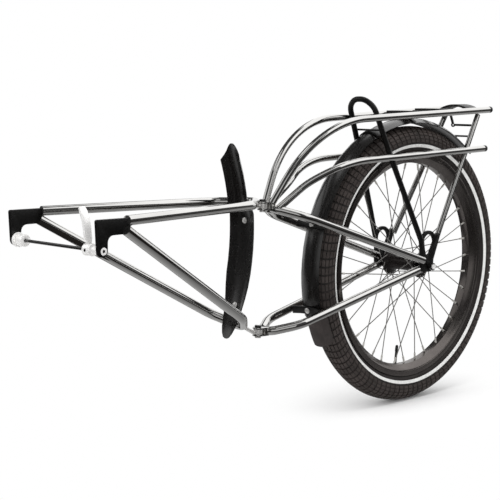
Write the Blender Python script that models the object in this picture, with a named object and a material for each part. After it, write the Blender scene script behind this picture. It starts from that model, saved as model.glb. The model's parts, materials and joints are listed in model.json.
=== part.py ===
# Single-wheel bike cargo trailer: a yoke that hangs on the bike's rear skewer, a steering hinge
# and a rear frame with a rack, mudguards and a 20-inch wheel.
# Metres. Origin: middle of the bike's rear axle. +X is the travel direction, +Y left, +Z up.

import math

import bmesh
import bpy
from mathutils import Matrix, Vector

for old in list(bpy.data.objects):
    bpy.data.objects.remove(old, do_unlink=True)

# Clearance between two pieces that touch
GAP = 0.0003

# Ride height, and how the hinge and the wheel follow on behind the bike's wheel
BIKE_AXLE_HEIGHT = 0.3574
TYRE_RADIUS = 0.255
BIKE_GUARD_RADIUS = 0.381
BIKE_GUARD_TO_HINGE = 0.029
WHEEL_GUARD_CLEARANCE = 0.0141
WHEEL_GUARD_TO_HINGE = 0.1199
WHEEL_GUARD_RADIUS = TYRE_RADIUS + WHEEL_GUARD_CLEARANCE
HINGE_SETBACK = BIKE_GUARD_RADIUS + BIKE_GUARD_TO_HINGE
WHEELBASE = HINGE_SETBACK + WHEEL_GUARD_TO_HINGE + WHEEL_GUARD_RADIUS

# Wheel
TYRE_WIDTH = 0.050
TYRE_HEIGHT = 0.046
TYRE_WALL = 0.0035
WHEEL_FACETS = 54
RIM_DEPTH = 0.0216
RIM_EDGE_RADIUS = TYRE_RADIUS - TYRE_HEIGHT
RIM_BED_RADIUS = RIM_EDGE_RADIUS - RIM_DEPTH
RIM_WIDTH = 0.036
RIM_WALL = 0.0022
RIM_FLANGE_HEIGHT = 0.0067
SPOKE_COUNT = 36
SPOKE_DIAMETER = 0.0020
SPOKE_CROSSINGS = 3
SPOKE_SIDES = 5
SPOKE_LEAN = 0.0013
SPOKE_RIM_OFFSET = 0.0012
SPOKE_HOLE_INSET = 0.0035
NIPPLE_DIAMETER = 0.0036
NIPPLE_LENGTH = 0.011
FLANGE_SPACING = 0.070
FLANGE_RADIUS = 0.023
FLANGE_THICKNESS = 0.0032
HUB_SHELL_DIAMETER = 0.030
AXLE_DIAMETER = 0.0095
AXLE_LENGTH = 0.135
AXLE_NUT_DIAMETER = 0.0135
AXLE_NUT_LENGTH = 0.0085
VALVE_DIAMETER = 0.0065
VALVE_LENGTH = 0.034
VALVE_ANGLE = math.radians(-82)

# Steering hinge: lower pivot, the span between the two pivots, and the lean of the axis
HINGE_LOW_DROP = 0.1804
HINGE_SPAN = 0.2103
HINGE_LEAN = math.radians(3)
EYE_DIAMETER = 0.0155
EYE_HEIGHT = 0.0082
SHANK_DIAMETER = 0.0062
SHANK_STRAIGHT = 0.0125
SHANK_BEND = 0.003
LIP_THICKNESS = 0.0026
LIP_RADIUS = 0.0092
HINGE_BOLT_DIAMETER = 0.006
NUT_ACROSS = 0.0105
NUT_HEIGHT = 0.0036
BOLT_TAIL = 0.0004

# Yoke
PLATE_SPREAD = 0.199
PLATE_THICKNESS = 0.006
PLATE_TOP = 0.0448
PLATE_LENGTH = 0.0645
PLATE_DEPTH = 0.0235
PLATE_TIP_RADIUS = 0.0087
PLATE_NECK = 0.0175
PLATE_FILLET = 0.010
UPPER_TUBE_DIAMETER = 0.015
LOWER_TUBE_DIAMETER = 0.016
TUBE_SLOT_DEPTH = 0.007
YOKE_NOSE_RADIUS = 0.015
YOKE_KNEE_RADIUS = 0.040
UPPER_KNEE_HALF_WIDTH = 0.0465
UPPER_KNEE_LENGTH = 0.052
UPPER_APEX_REACH = 0.0165
UPPER_TUBE_FALL = 0.0022
LOWER_KNEE_HALF_WIDTH = 0.0386
LOWER_KNEE_LENGTH = 0.039
LOWER_APEX_REACH = 0.035
LOWER_TUBE_RISE = 0.0125

# Skewer through the bike's axle
SKEWER_DIAMETER = 0.005
SKEWER_SEAT_DEPTH = 0.0014
CLAMP_SPAN = 0.145
SPIGOT_DIAMETER = 0.0112
SOCKET_DIAMETER = 0.005
SOCKET_DEPTH = 0.003
HEAD_DIAMETER = 0.018
HEAD_LENGTH = 0.0125
HEAD_SHIFT = 0.0065
NUT_BODY_DIAMETER = 0.0185
NUT_BODY_LENGTH = 0.0125
NUT_DISC_DIAMETER = 0.0225
NUT_DISC_THICKNESS = 0.0035
NUT_NECK_DIAMETER = 0.013
LEVER_LENGTH = 0.059
LEVER_WIDTH = 0.012
LEVER_THICKNESS = 0.0045
LEVER_CURL = 0.013
LEVER_ROOT_DIAMETER = 0.0098
LEVER_ROOT_WIDTH = 0.008
LEVER_NECK_WIDTH = 0.007
LEVER_PIN_DIAMETER = 0.004

# Mudguards
GUARD_THICKNESS = 0.0018
BIKE_GUARD_HALF_WIDTH = 0.0275
BIKE_GUARD_CROWN = 0.009
BIKE_GUARD_TOP = math.radians(158.75)
BIKE_GUARD_TIP = math.radians(208.5)
BIKE_GUARD_TOP_HALF_WIDTH = 0.022
BIKE_GUARD_TOP_CROWN = 0.013
BIKE_GUARD_POINT = 0.0255
BIKE_GUARD_NOSE = 0.006
BIKE_GUARD_TIP_HALF_WIDTH = 0.012
BIKE_GUARD_TAPER = 0.100
BIKE_GUARD_CUT = 0.8
BIKE_GUARD_ROUNDING = 0.024
BIKE_GUARD_STEP = math.radians(175.4)
BIKE_GUARD_STEP_LENGTH = math.radians(1.6)
BIKE_GUARD_SET_IN = 0.004
BIKE_GUARD_LEAN = 0.003
GUARD_CORNER = 0.010
WHEEL_GUARD_HALF_WIDTH = 0.020
WHEEL_GUARD_CROWN = 0.008
WHEEL_GUARD_FRONT = math.radians(-15.5)
WHEEL_GUARD_REAR = math.radians(132)
FLAP_LENGTH = 0.058
FLAP_OVERLAP = 0.014
FLAP_HALF_WIDTH = 0.0235
FLAP_THICKNESS = 0.003
GUARD_BOLT_DIAMETER = 0.010
GUARD_BOLT_HEIGHT = 0.0034
UPPER_GUARD_BOLT = math.radians(178.7)
LOWER_GUARD_BOLT = math.radians(199.9)
TAB_WIDTH = 0.014
TAB_THICKNESS = 0.003

# Rear frame
STAY_DIAMETER = 0.015
STAY_NOSE_RADIUS = 0.018
STAY_KNEE_RADIUS = 0.070
STAY_APEX_SETBACK = 0.0055
STAY_KNEE_LENGTH = 0.058
UPPER_STAY_HALF_WIDTH = 0.0395
LOWER_STAY_HALF_WIDTH = 0.0385
DROPOUT_SPACING = 0.103
DROPOUT_THICKNESS = 0.005
DROPOUT_LEG_TOP = 0.060
RAIL_DIAMETER = 0.012
RAIL_CAP_LENGTH = 0.008
RACK_REAR = 0.182
RACK_CLEARANCE = 0.0133
RACK_HEIGHT = WHEEL_GUARD_RADIUS + RACK_CLEARANCE
RACK_HALF_WIDTH = 0.050
SIDE_RAIL_REAR = 0.163
SIDE_RAIL_DROP = 0.0729
SIDE_RAIL_HEIGHT = RACK_HEIGHT - SIDE_RAIL_DROP
SIDE_RAIL_HALF_WIDTH = 0.0535
HOOP_DIAMETER = 0.010
HOOP_RISE = 0.0214
HOOP_HEIGHT = RACK_HEIGHT + HOOP_RISE
HOOP_FOOT_REACH = 0.0238
HOOP_SPREAD_REACH = 0.0894
HOOP_SPREAD_HALF_WIDTH = 0.0356
HOOP_SPREAD_DROP = 0.0078
HOOP_SHOULDER_REACH = 0.1282
HOOP_SHOULDER_HALF_WIDTH = 0.0282
HOOP_SHOULDER_DROP = 0.0120
HOOP_CROWN_REACH = 0.1350
HOOP_CROWN_HALF_WIDTH = 0.0120
HOOP_CROWN_RISE = 0.0015
HOOP_SPREAD_BEND = 0.120
HOOP_SHOULDER_BEND = 0.016
HOOP_CROWN_BEND = 0.012
LEG_OVERLAP = 0.0090
STRUT_DIAMETER = 0.010
STRUT_FOOT_REACH = 0.0275
STRUT_SET_IN = 0.0032
STRUT_REAR_SPARE = 0.0165
STRUT_TOP_DROP = 0.0096
FRONT_SLAT = 0.005
SLAT_SPACING = 0.087
SLAT_WIDTH = 0.020
SLAT_THICKNESS = 0.004
HUMP_SETBACK = 0.157
HUMP_WIDTH = 0.034
HUMP_HEIGHT = 0.014
HUMP_FOOT_DROP = 0.003
LAMP_HOLE_SPACING = 0.048
LAMP_LEG_SPREAD = 0.066
LAMP_BRACKET_DROP = 0.0262
LAMP_BAR = 0.004
LAMP_HOLE = 0.004
LAMP_PLATE = 0.0025
LAMP_EYE_RADIUS = 0.0042
BRIDGE_HEIGHT = 0.013
BRIDGE_THICKNESS = 0.003
WIRE_DIAMETER = 0.0035
BAND_THICKNESS = 0.0015
BAND_WIDTH = 0.009
POST_DIAMETER = 0.007

UP = Vector((0, 0, 1))
LEFT = Vector((0, 1, 0))
SIDES = (("left", 1), ("right", -1))
WHEEL = Vector((-WHEELBASE, 0, TYRE_RADIUS - BIKE_AXLE_HEIGHT))
HINGE_AXIS = Vector((-math.sin(HINGE_LEAN), 0, math.cos(HINGE_LEAN)))
LOW_PIVOT = Vector((-HINGE_SETBACK, 0, -HINGE_LOW_DROP))
TOP_PIVOT = LOW_PIVOT + HINGE_SPAN * HINGE_AXIS
PLATE_INNER = PLATE_SPREAD / 2
PLATE_MIDDLE = PLATE_INNER + PLATE_THICKNESS / 2
DROPOUT_INNER = DROPOUT_SPACING / 2
DROPOUT_MIDDLE = DROPOUT_INNER + DROPOUT_THICKNESS / 2
DROPOUT_OUTER = DROPOUT_INNER + DROPOUT_THICKNESS
FORK_HALF_HEIGHT = EYE_HEIGHT / 2 + GAP + LIP_THICKNESS
FORK_REACH = 0.022
FLAP_INSET = (GUARD_THICKNESS + FLAP_THICKNESS) / 2 + 2 * GAP
FLAP_TIP = WHEEL_GUARD_FRONT - FLAP_LENGTH / WHEEL_GUARD_RADIUS


def finish(name, color, roughness, metallic):
    material = bpy.data.materials.new(name)
    material.use_nodes = True
    shader = material.node_tree.nodes["Principled BSDF"]
    shader.inputs["Base Color"].default_value = (*color, 1)
    shader.inputs["Roughness"].default_value = roughness
    shader.inputs["Metallic"].default_value = metallic
    return material


CHROME = ("chrome", (0.80, 0.79, 0.78), 0.08, 1.0)
BLACK_PAINT = ("black powder coat", (0.012, 0.011, 0.011), 0.38, 0.0)
GLOSS_BLACK = ("gloss black sheet", (0.010, 0.010, 0.011), 0.22, 0.0)
ZINC = ("bright zinc steel", (0.62, 0.61, 0.60), 0.25, 1.0)
ANODISED = ("black anodised aluminium", (0.020, 0.019, 0.019), 0.35, 0.6)
RUBBER = ("tyre rubber", (0.018, 0.016, 0.015), 0.75, 0.0)
PLASTIC = ("black plastic", (0.015, 0.015, 0.015), 0.5, 0.0)


def mesh_object(name, mesh, look):
    obj = bpy.data.objects.new(name, mesh)
    bpy.context.scene.collection.objects.link(obj)
    if look:
        mesh.materials.clear()
        mesh.materials.append(finish(f"{name} {look[0]}", *look[1:]))
    else:
        obj.hide_render = True
        obj.display_type = "WIRE"
    return obj


def from_bmesh(name, bm, look, smooth=True):
    bmesh.ops.remove_doubles(bm, verts=bm.verts, dist=1e-7)
    bmesh.ops.recalc_face_normals(bm, faces=bm.faces)
    mesh = bpy.data.meshes.new(name)
    bm.to_mesh(mesh)
    bm.free()
    if smooth:
        mesh.shade_smooth()
        mesh.set_sharp_from_angle(angle=math.radians(40))
    return mesh_object(name, mesh, look)


def from_curve(name, curve, look, place=None):
    """Turns a beveled or extruded curve into one closed mesh object."""
    guide = bpy.data.objects.new(name + " guide", curve)
    bpy.context.scene.collection.objects.link(guide)
    mesh = bpy.data.meshes.new_from_object(guide.evaluated_get(bpy.context.evaluated_depsgraph_get()))
    bpy.data.objects.remove(guide, do_unlink=True)
    bm = bmesh.new()
    bm.from_mesh(mesh)
    bpy.data.meshes.remove(mesh)
    if place:
        bmesh.ops.transform(bm, matrix=place, verts=bm.verts)
    return from_bmesh(name, bm, look)


def boolean(obj, other, operation="DIFFERENCE"):
    modifier = obj.modifiers.new(f"{operation.lower()} {other.name}", "BOOLEAN")
    modifier.operation = operation
    modifier.solver = "EXACT"
    modifier.object = other


def mirrored(point):
    return Vector((point.x, -point.y, point.z))


def side_point(point, sign):
    return Vector((point.x, sign * point.y, point.z))


def bend(corners, radii, step=math.radians(11)):
    """Centre line of a bent tube: straight runs between the corners, with an arc of each radius."""
    points = [corners[0]]
    for before, corner, after, radius in zip(corners, corners[1:], corners[2:], radii):
        to_before = (before - corner).normalized()
        to_after = (after - corner).normalized()
        turn = math.pi - to_before.angle(to_after)
        tangent = radius * math.tan(turn / 2)
        middle = (to_before + to_after).normalized()
        center = corner + middle * radius / math.cos(turn / 2)
        start = corner + to_before * tangent - center
        axis = start.cross(corner + to_after * tangent - center).normalized()
        count = max(2, math.ceil(turn / step))
        if count % 2:
            count += 1
        for i in range(count + 1):
            points.append(center + Matrix.Rotation(turn * i / count, 3, axis) @ start)
    points.append(corners[-1])
    return points


def tube(name, points, diameter, look, sides=10, cyclic=False):
    curve = bpy.data.curves.new(name, "CURVE")
    curve.dimensions = "3D"
    curve.bevel_depth = diameter / 2
    curve.bevel_resolution = (sides - 4) // 2
    curve.use_fill_caps = not cyclic
    spline = curve.splines.new("POLY")
    spline.points.add(len(points) - 1)
    for target, point in zip(spline.points, points):
        target.co = (*point, 1)
    spline.use_cyclic_u = cyclic
    return from_curve(name, curve, look)


def at_x(points, x):
    """The point of a centre line where it crosses the plane at x."""
    for a, b in zip(points, points[1:]):
        if (a.x - x) * (b.x - x) <= 0 and a.x != b.x:
            return a.lerp(b, (x - a.x) / (b.x - a.x))
    raise ValueError("the centre line doesn't reach that plane")


def arc(center, radius, start, end, steps):
    turns = [start + (end - start) * i / steps for i in range(steps + 1)]
    return [(center[0] + radius * math.cos(a), center[1] + radius * math.sin(a)) for a in turns]


def plate(name, outlines, thickness, place, look):
    """A flat plate from closed outlines: the first is its edge and the others are holes."""
    curve = bpy.data.curves.new(name, "CURVE")
    curve.dimensions = "2D"
    curve.fill_mode = "BOTH"
    curve.extrude = thickness / 2
    for outline in outlines:
        spline = curve.splines.new("POLY")
        spline.points.add(len(outline) - 1)
        for target, point in zip(spline.points, outline):
            target.co = (*point, 0, 1)
        spline.use_cyclic_u = True
    return from_curve(name, curve, look, place)


def standing(offset):
    """Lays a plate's outline, given as (x, z), in the vertical plane through offset, facing sideways."""
    return Matrix.Translation(offset) @ Matrix(((1, 0, 0, 0), (0, 0, -1, 0), (0, 1, 0, 0), (0, 0, 0, 1)))


def along(start, direction):
    """Places a shape made along local Z so that it runs from start in a direction."""
    return Matrix.Translation(start) @ direction.to_track_quat("Z", "Y").to_matrix().to_4x4()


def turned(name, profile, place, look, steps=20):
    """A turned piece: profile points are (radius, height) along its axis, from end to end."""
    bm = bmesh.new()
    verts = [bm.verts.new((radius, 0, height)) for radius, height in profile]
    edges = [bm.edges.new(pair) for pair in zip(verts, verts[1:])]
    bmesh.ops.spin(
        bm, geom=verts + edges, cent=(0, 0, 0), axis=(0, 0, 1), angle=math.tau, steps=steps, use_merge=True
    )
    bmesh.ops.remove_doubles(bm, verts=bm.verts, dist=1e-6)
    bmesh.ops.transform(bm, matrix=place, verts=bm.verts)
    return from_bmesh(name, bm, look)


def rod(radius, low, high):
    """Turned profile of a plain round bar."""
    return [(0, low), (radius, low), (radius, high), (0, high)]


def collar(inner, outer, low, high):
    """Turned profile of a ring or a sleeve."""
    return [(inner, low), (outer, low), (outer, high), (inner, high), (inner, low)]


def round_hole(center, radius, sides=16):
    """A closed round outline."""
    return arc(center, radius, 0, math.tau * (sides - 1) / sides, sides - 1)


def hexagon(name, across, bore, low, high, place, look):
    """A hexagonal nut, given across its flats, with its bore."""
    outlines = [round_hole((0, 0), across / math.sqrt(3), 6), round_hole((0, 0), bore / 2)]
    return plate(name, outlines, high - low, place @ Matrix.Translation((0, 0, (low + high) / 2)), look)


def pivoted(obj, point):
    """Puts an object's origin on its joint's axis without moving its shape."""
    obj.data.transform(Matrix.Translation(-point))
    obj.location = point
    return obj


def eased(start, end, steps):
    """Angles from start to end that lie closer together toward both ends."""
    return [start + (end - start) * (1 - math.cos(math.pi * i / steps)) / 2 for i in range(steps + 1)]


def guard(name, center, radius_at, section_at, thickness, angles, half_width_at, look):
    """A mudguard: a crowned strip bent about the wheel, its radius and half width given at each angle."""
    bm = bmesh.new()
    rows = []
    for angle in angles:
        half = half_width_at(angle)
        crown = radius_at(angle)
        section = section_at(angle)
        row = []
        for j in range(-3, 4):
            y = half * j / 3
            reach = crown - section + math.sqrt(section**2 - y**2)
            row.append(bm.verts.new(center + Vector((reach * math.cos(angle), y, reach * math.sin(angle)))))
        rows.append(row)
    for low, high in zip(rows, rows[1:]):
        for j in range(len(low) - 1):
            bm.faces.new((low[j], low[j + 1], high[j + 1], high[j]))
    obj = from_bmesh(name, bm, look)
    wall = obj.modifiers.new("sheet thickness", "SOLIDIFY")
    wall.thickness = thickness
    wall.offset = 0
    return obj


def crown_radius(half_width, crown):
    return (half_width**2 + crown**2) / (2 * crown)


def rounded_end(distance, half_width, corner, length):
    """Half width of a strip near its end, where its corners are cut back by corner over a length."""
    inside = max(0, 1 - distance / length)
    return half_width - corner + corner * math.sqrt(max(0, 1 - inside**2))


# Yoke: two wishbone tubes, each bent from one length, meeting at the hinge
def wishbone(front, knee_half_width, knee_length, apex, knee_radius, nose_radius):
    """Centre line of a tube from the left end round the nose to the right end, in one tilted plane."""
    slope = (front.z - apex.z) / (front.x - apex.x)
    toward = math.copysign(1, front.x - apex.x)
    knee_x = apex.x + toward * knee_length
    knee = Vector((knee_x, knee_half_width, apex.z + slope * (knee_x - apex.x)))
    corners = [front, knee, apex, mirrored(knee), mirrored(front)]
    return bend(corners, (knee_radius, nose_radius, knee_radius))


def middle_of(points):
    return points[len(points) // 2]


PLATE_REAR = -(PLATE_LENGTH - PLATE_TIP_RADIUS - 0.003)
UPPER_TUBE_Z = PLATE_TOP - UPPER_TUBE_DIAMETER / 3
UPPER_FRONT = Vector((PLATE_REAR + TUBE_SLOT_DEPTH, PLATE_MIDDLE - 0.0015, UPPER_TUBE_Z))
UPPER_APEX = TOP_PIVOT + Vector((UPPER_APEX_REACH, 0, 0))
UPPER_APEX.z = UPPER_TUBE_Z - UPPER_TUBE_FALL
UPPER_YOKE_LINE = wishbone(
    UPPER_FRONT, UPPER_KNEE_HALF_WIDTH, UPPER_KNEE_LENGTH, UPPER_APEX, YOKE_KNEE_RADIUS, YOKE_NOSE_RADIUS
)
LOWER_FRONT = Vector((PLATE_REAR + TUBE_SLOT_DEPTH + 0.004, PLATE_MIDDLE, PLATE_TOP - PLATE_DEPTH + 0.006))
LOWER_APEX = LOW_PIVOT + Vector((LOWER_APEX_REACH, 0, LOWER_TUBE_RISE))
LOWER_YOKE_LINE = wishbone(
    LOWER_FRONT, LOWER_KNEE_HALF_WIDTH, LOWER_KNEE_LENGTH, LOWER_APEX, YOKE_KNEE_RADIUS, YOKE_NOSE_RADIUS
)


def slot_cutter(name, x_low, x_high, z_low, z_high, y_middle, thickness):
    outline = [(x_low, z_low), (x_high, z_low), (x_high, z_high), (x_low, z_high)]
    return plate(name, [outline], thickness + 2 * GAP, standing(Vector((0, y_middle, 0))), None)


def yoke_tubes():
    upper = tube("yoke_upper_tube", UPPER_YOKE_LINE, UPPER_TUBE_DIAMETER, CHROME)
    lower = tube("yoke_lower_tube", LOWER_YOKE_LINE, LOWER_TUBE_DIAMETER, CHROME)
    fat_upper = tube("upper tube cutter", UPPER_YOKE_LINE, UPPER_TUBE_DIAMETER + 2 * GAP, None)
    for side, sign in SIDES:
        cutter = slot_cutter(
            f"{side} slot cutter",
            PLATE_REAR - GAP,
            PLATE_LENGTH,
            -PLATE_TOP,
            2 * PLATE_TOP,
            sign * PLATE_MIDDLE,
            PLATE_THICKNESS,
        )
        boolean(upper, cutter)
        boolean(lower, cutter)
    boolean(lower, fat_upper)


def dropout_plates():
    """Plates that hang on the skewer: a long ear for the tubes, a neck and a round tip with its hole."""
    front = PLATE_TIP_RADIUS + 0.0015
    ear_bottom = PLATE_TOP - PLATE_DEPTH
    neck_rear = front - PLATE_NECK
    outline = [(front + 0.002, PLATE_TOP), (PLATE_REAR, PLATE_TOP - 0.001)]
    outline += [(PLATE_REAR, PLATE_TOP - 0.011), (PLATE_REAR + 0.006, PLATE_TOP - 0.014)]
    outline += [(PLATE_REAR + 0.002, ear_bottom + 0.001), (PLATE_REAR + 0.012, ear_bottom)]
    fillet = (neck_rear - PLATE_FILLET, ear_bottom - PLATE_FILLET)
    outline += arc(fillet, PLATE_FILLET, math.pi / 2, 0, 5)
    tip = (front - PLATE_TIP_RADIUS, 0)
    outline += arc(tip, PLATE_TIP_RADIUS, math.pi, 2 * math.pi, 8)
    hole = round_hole((0, 0), SPIGOT_DIAMETER / 2 + GAP, 20)
    for side, sign in SIDES:
        place = standing(Vector((0, sign * PLATE_MIDDLE, 0)))
        plate(f"{side}_dropout_plate", [outline, hole], PLATE_THICKNESS, place, BLACK_PAINT)


# Each eye carries its shank, which runs level out of the fork and then up into the nose of the yoke tube
def rod_end(name, pivot, line, tube_diameter):
    bore = HINGE_BOLT_DIAMETER / 2 + GAP
    profile = collar(bore, EYE_DIAMETER / 2, -EYE_HEIGHT / 2, EYE_HEIGHT / 2)
    eye = turned(name, profile, along(pivot, HINGE_AXIS), ZINC)
    level = LEFT.cross(HINGE_AXIS)
    start = pivot + level * (bore + EYE_DIAMETER / 2) / 2
    corner = pivot + level * SHANK_STRAIGHT
    shank_line = bend([start, corner, middle_of(line)], [SHANK_BEND], math.radians(15))
    boolean(eye, tube(name + " shank", shank_line, SHANK_DIAMETER, None), "UNION")
    boolean(eye, tube(name + " nose cutter", line, tube_diameter + 2 * GAP, None))


# Skewer: its rod, the head with its lever on the left and the adjusting nut on the right
def skewer():
    pivot = Vector((0, 0, 0))
    clamp = CLAMP_SPAN / 2
    plate_outer = PLATE_INNER + PLATE_THICKNESS
    left = along(pivot, LEFT)
    right = along(pivot, -LEFT)
    head_start = clamp - HEAD_SHIFT
    head_end = head_start + HEAD_LENGTH
    nut_start = clamp + HEAD_SHIFT
    nut_end = PLATE_INNER - GAP
    neck_start = nut_start + NUT_BODY_LENGTH
    disc_start = nut_end - NUT_DISC_THICKNESS
    bore = SKEWER_DIAMETER / 2 + GAP
    rod_reach = nut_start + NUT_BODY_LENGTH * 0.8
    rod_seat = head_start + SKEWER_SEAT_DEPTH
    rod_profile = rod(SKEWER_DIAMETER / 2, -rod_reach, rod_seat - GAP)
    pivoted(turned("skewer_rod", rod_profile, left, CHROME, 12), pivot)
    head_profile = [
        (0, rod_seat),
        (bore, rod_seat),
        (bore, head_start),
        (HEAD_DIAMETER / 2, head_start),
        (HEAD_DIAMETER / 2, head_end),
        (0, head_end),
    ]
    head = turned("skewer_head", head_profile, left, CHROME, 24)
    slot = plate(
        "lever slot cutter",
        [
            [
                (-LEVER_ROOT_WIDTH / 2 - GAP, -HEAD_DIAMETER),
                (LEVER_ROOT_WIDTH / 2 + GAP, -HEAD_DIAMETER),
                (LEVER_ROOT_WIDTH / 2 + GAP, HEAD_DIAMETER),
                (-LEVER_ROOT_WIDTH / 2 - GAP, HEAD_DIAMETER),
            ]
        ],
        HEAD_LENGTH,
        standing(Vector((0, head_start + 0.002 + HEAD_LENGTH / 2, 0))),
        None,
    )
    boolean(head, slot)
    lever_pivot = Vector((0, head_end - LEVER_ROOT_DIAMETER / 2 - 0.0003, 0))
    pin_place = along(lever_pivot, Vector((1, 0, 0)))
    pin_bore = rod(LEVER_PIN_DIAMETER / 2 + GAP, -HEAD_DIAMETER, HEAD_DIAMETER)
    pin_hole = turned("lever pin cutter", pin_bore, pin_place, None, 16)
    boolean(head, pin_hole)
    pivoted(head, pivot)
    pin_reach = HEAD_DIAMETER / 2
    pin = turned("lever_pin", rod(LEVER_PIN_DIAMETER / 2, -pin_reach, pin_reach), pin_place, CHROME, 16)
    pivoted(pin, pivot)
    lever(lever_pivot, pin_hole)
    spigot = turned(
        "left_spigot",
        [
            (0, head_end + GAP),
            (HEAD_DIAMETER / 2, head_end + GAP),
            (HEAD_DIAMETER / 2, head_end + 0.003),
            (SPIGOT_DIAMETER / 2, head_end + 0.004),
            (SPIGOT_DIAMETER / 2, plate_outer),
            (SOCKET_DIAMETER / 2, plate_outer),
            (SOCKET_DIAMETER / 2, plate_outer - SOCKET_DEPTH),
            (0, plate_outer - SOCKET_DEPTH),
        ],
        left,
        CHROME,
    )
    pivoted(spigot, pivot)
    nut = turned(
        "adjusting_nut",
        [
            (0, rod_reach + GAP),
            (bore, rod_reach + GAP),
            (bore, nut_start),
            (NUT_BODY_DIAMETER / 2, nut_start),
            (NUT_BODY_DIAMETER / 2, neck_start),
            (NUT_NECK_DIAMETER / 2, neck_start),
            (NUT_NECK_DIAMETER / 2, disc_start),
            (NUT_DISC_DIAMETER / 2, disc_start),
            (NUT_DISC_DIAMETER / 2, nut_end),
            (SPIGOT_DIAMETER / 2, nut_end),
            (SPIGOT_DIAMETER / 2, plate_outer),
            (SOCKET_DIAMETER / 2, plate_outer),
            (SOCKET_DIAMETER / 2, plate_outer - SOCKET_DEPTH),
            (0, plate_outer - SOCKET_DEPTH),
        ],
        right,
        CHROME,
    )
    pivoted(nut, pivot)


def lever(pivot, pin_hole):
    """A curved blade that rises from a round root in the head's slot and curls toward the bike."""
    root = turned(
        "qr_lever",
        rod(LEVER_ROOT_DIAMETER / 2, -LEVER_ROOT_WIDTH / 2, LEVER_ROOT_WIDTH / 2),
        along(pivot, Vector((1, 0, 0))),
        CHROME,
        20,
    )
    root_top = 0.7 * LEVER_ROOT_DIAMETER / 2
    rows = 9
    bm = bmesh.new()
    rings = []
    for i in range(rows + 1):
        t = i / rows
        rise = root_top + (LEVER_LENGTH - root_top) * t
        lean = -0.004 * math.sin(math.pi / 2 * min(1, 2.5 * t)) - LEVER_CURL * t**3
        widen = min(1, max(0, (rise - HEAD_DIAMETER / 2 - 0.001) / 0.006))
        width = LEVER_NECK_WIDTH + (LEVER_WIDTH - LEVER_NECK_WIDTH) * widen
        if i == rows:
            width *= 0.72
        along_blade = Vector((0, -3 * LEVER_CURL * t**2, LEVER_LENGTH)).normalized()
        across = Vector((0, along_blade.z, -along_blade.y)) * LEVER_THICKNESS / 2
        base = pivot + Vector((0, lean, rise))
        half = Vector((width / 2, 0, 0))
        corners = (base - half - across, base + half - across, base + half + across, base - half + across)
        rings.append([bm.verts.new(corner) for corner in corners])
    for low, high in zip(rings, rings[1:]):
        for j in range(4):
            bm.faces.new((low[j], low[(j + 1) % 4], high[(j + 1) % 4], high[j]))
    bm.faces.new(rings[0][::-1])
    bm.faces.new(rings[-1])
    blade = from_bmesh("lever blade", bm, None)
    boolean(root, blade, "UNION")
    boolean(root, pin_hole)
    pivoted(root, pivot)


# Steering hinge: a fork of two lips on each wishbone of the rear frame, with a bolt and a nut
def hinge_plate(name, pivot, outlines, half_height, look):
    """A plate centred on a hinge pivot, square to the steering axis."""
    outlines = outlines if isinstance(outlines[0], list) else [outlines]
    place = Matrix.Translation(pivot) @ Matrix.Rotation(-HINGE_LEAN, 4, "Y")
    return plate(name, outlines, 2 * half_height, place, look)


def clevis(name, pivot, line, tube_diameter):
    """A bent strap: two lips over and under the eye, joined by a web that is coped to the tube."""
    back = middle_of(line).x + tube_diameter * 0.2 - pivot.x
    web = -(EYE_DIAMETER / 2 + 0.0005)
    outline = [(back, -LIP_RADIUS), (0, -LIP_RADIUS)]
    outline += arc((0, 0), LIP_RADIUS, -math.pi / 2, math.pi / 2, 10)[1:-1]
    outline += [(0, LIP_RADIUS), (back, LIP_RADIUS)]
    hole = round_hole((0, 0), HINGE_BOLT_DIAMETER / 2 + GAP)
    strap = hinge_plate(name, pivot, [outline, hole], FORK_HALF_HEIGHT, BLACK_PAINT)
    reach = 2 * LIP_RADIUS
    mouth = [(web, -reach), (reach, -reach), (reach, reach), (web, reach)]
    boolean(strap, hinge_plate(name + " mouth cutter", pivot, mouth, EYE_HEIGHT / 2 + GAP, None))
    boolean(strap, tube(name + " tube cutter", line, tube_diameter + 2 * GAP, None))


def hinge_fastener(level, pivot):
    place = along(pivot, HINGE_AXIS)
    stack = FORK_HALF_HEIGHT
    tail = stack + GAP + NUT_HEIGHT + BOLT_TAIL
    profile = [
        (0, -stack - GAP - NUT_HEIGHT * 0.8),
        (NUT_ACROSS / 2, -stack - GAP - NUT_HEIGHT * 0.8),
        (NUT_ACROSS / 2, -stack - GAP),
        (HINGE_BOLT_DIAMETER / 2, -stack - GAP),
        (HINGE_BOLT_DIAMETER / 2, tail),
        (0, tail),
    ]
    turned(f"{level}_hinge_bolt", profile, place, ZINC, 16)
    hexagon(
        f"{level}_hinge_nut",
        NUT_ACROSS,
        HINGE_BOLT_DIAMETER + 2 * GAP,
        stack + GAP,
        stack + GAP + NUT_HEIGHT,
        place,
        BLACK_PAINT,
    )


# Rear frame centre lines. Points are given from the wheel's axle.
def from_axle(x, y, z):
    return WHEEL + Vector((x, y, z))


UPPER_STAY_END = from_axle(0.017, DROPOUT_MIDDLE, 0.0122)
LOWER_STAY_END = from_axle(0.017, DROPOUT_INNER - 0.0025, -0.0035)
UPPER_STAY_APEX = TOP_PIVOT + Vector((-STAY_APEX_SETBACK, 0, -0.001))
LOWER_STAY_APEX = LOW_PIVOT + Vector((-STAY_APEX_SETBACK, 0, -0.004))
STAY_RADII = (STAY_KNEE_RADIUS, STAY_NOSE_RADIUS)
UPPER_STAY_LINE = wishbone(
    UPPER_STAY_END, UPPER_STAY_HALF_WIDTH, STAY_KNEE_LENGTH, UPPER_STAY_APEX, *STAY_RADII
)
LOWER_STAY_LINE = wishbone(
    LOWER_STAY_END, LOWER_STAY_HALF_WIDTH, STAY_KNEE_LENGTH, LOWER_STAY_APEX, *STAY_RADII
)

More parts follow.
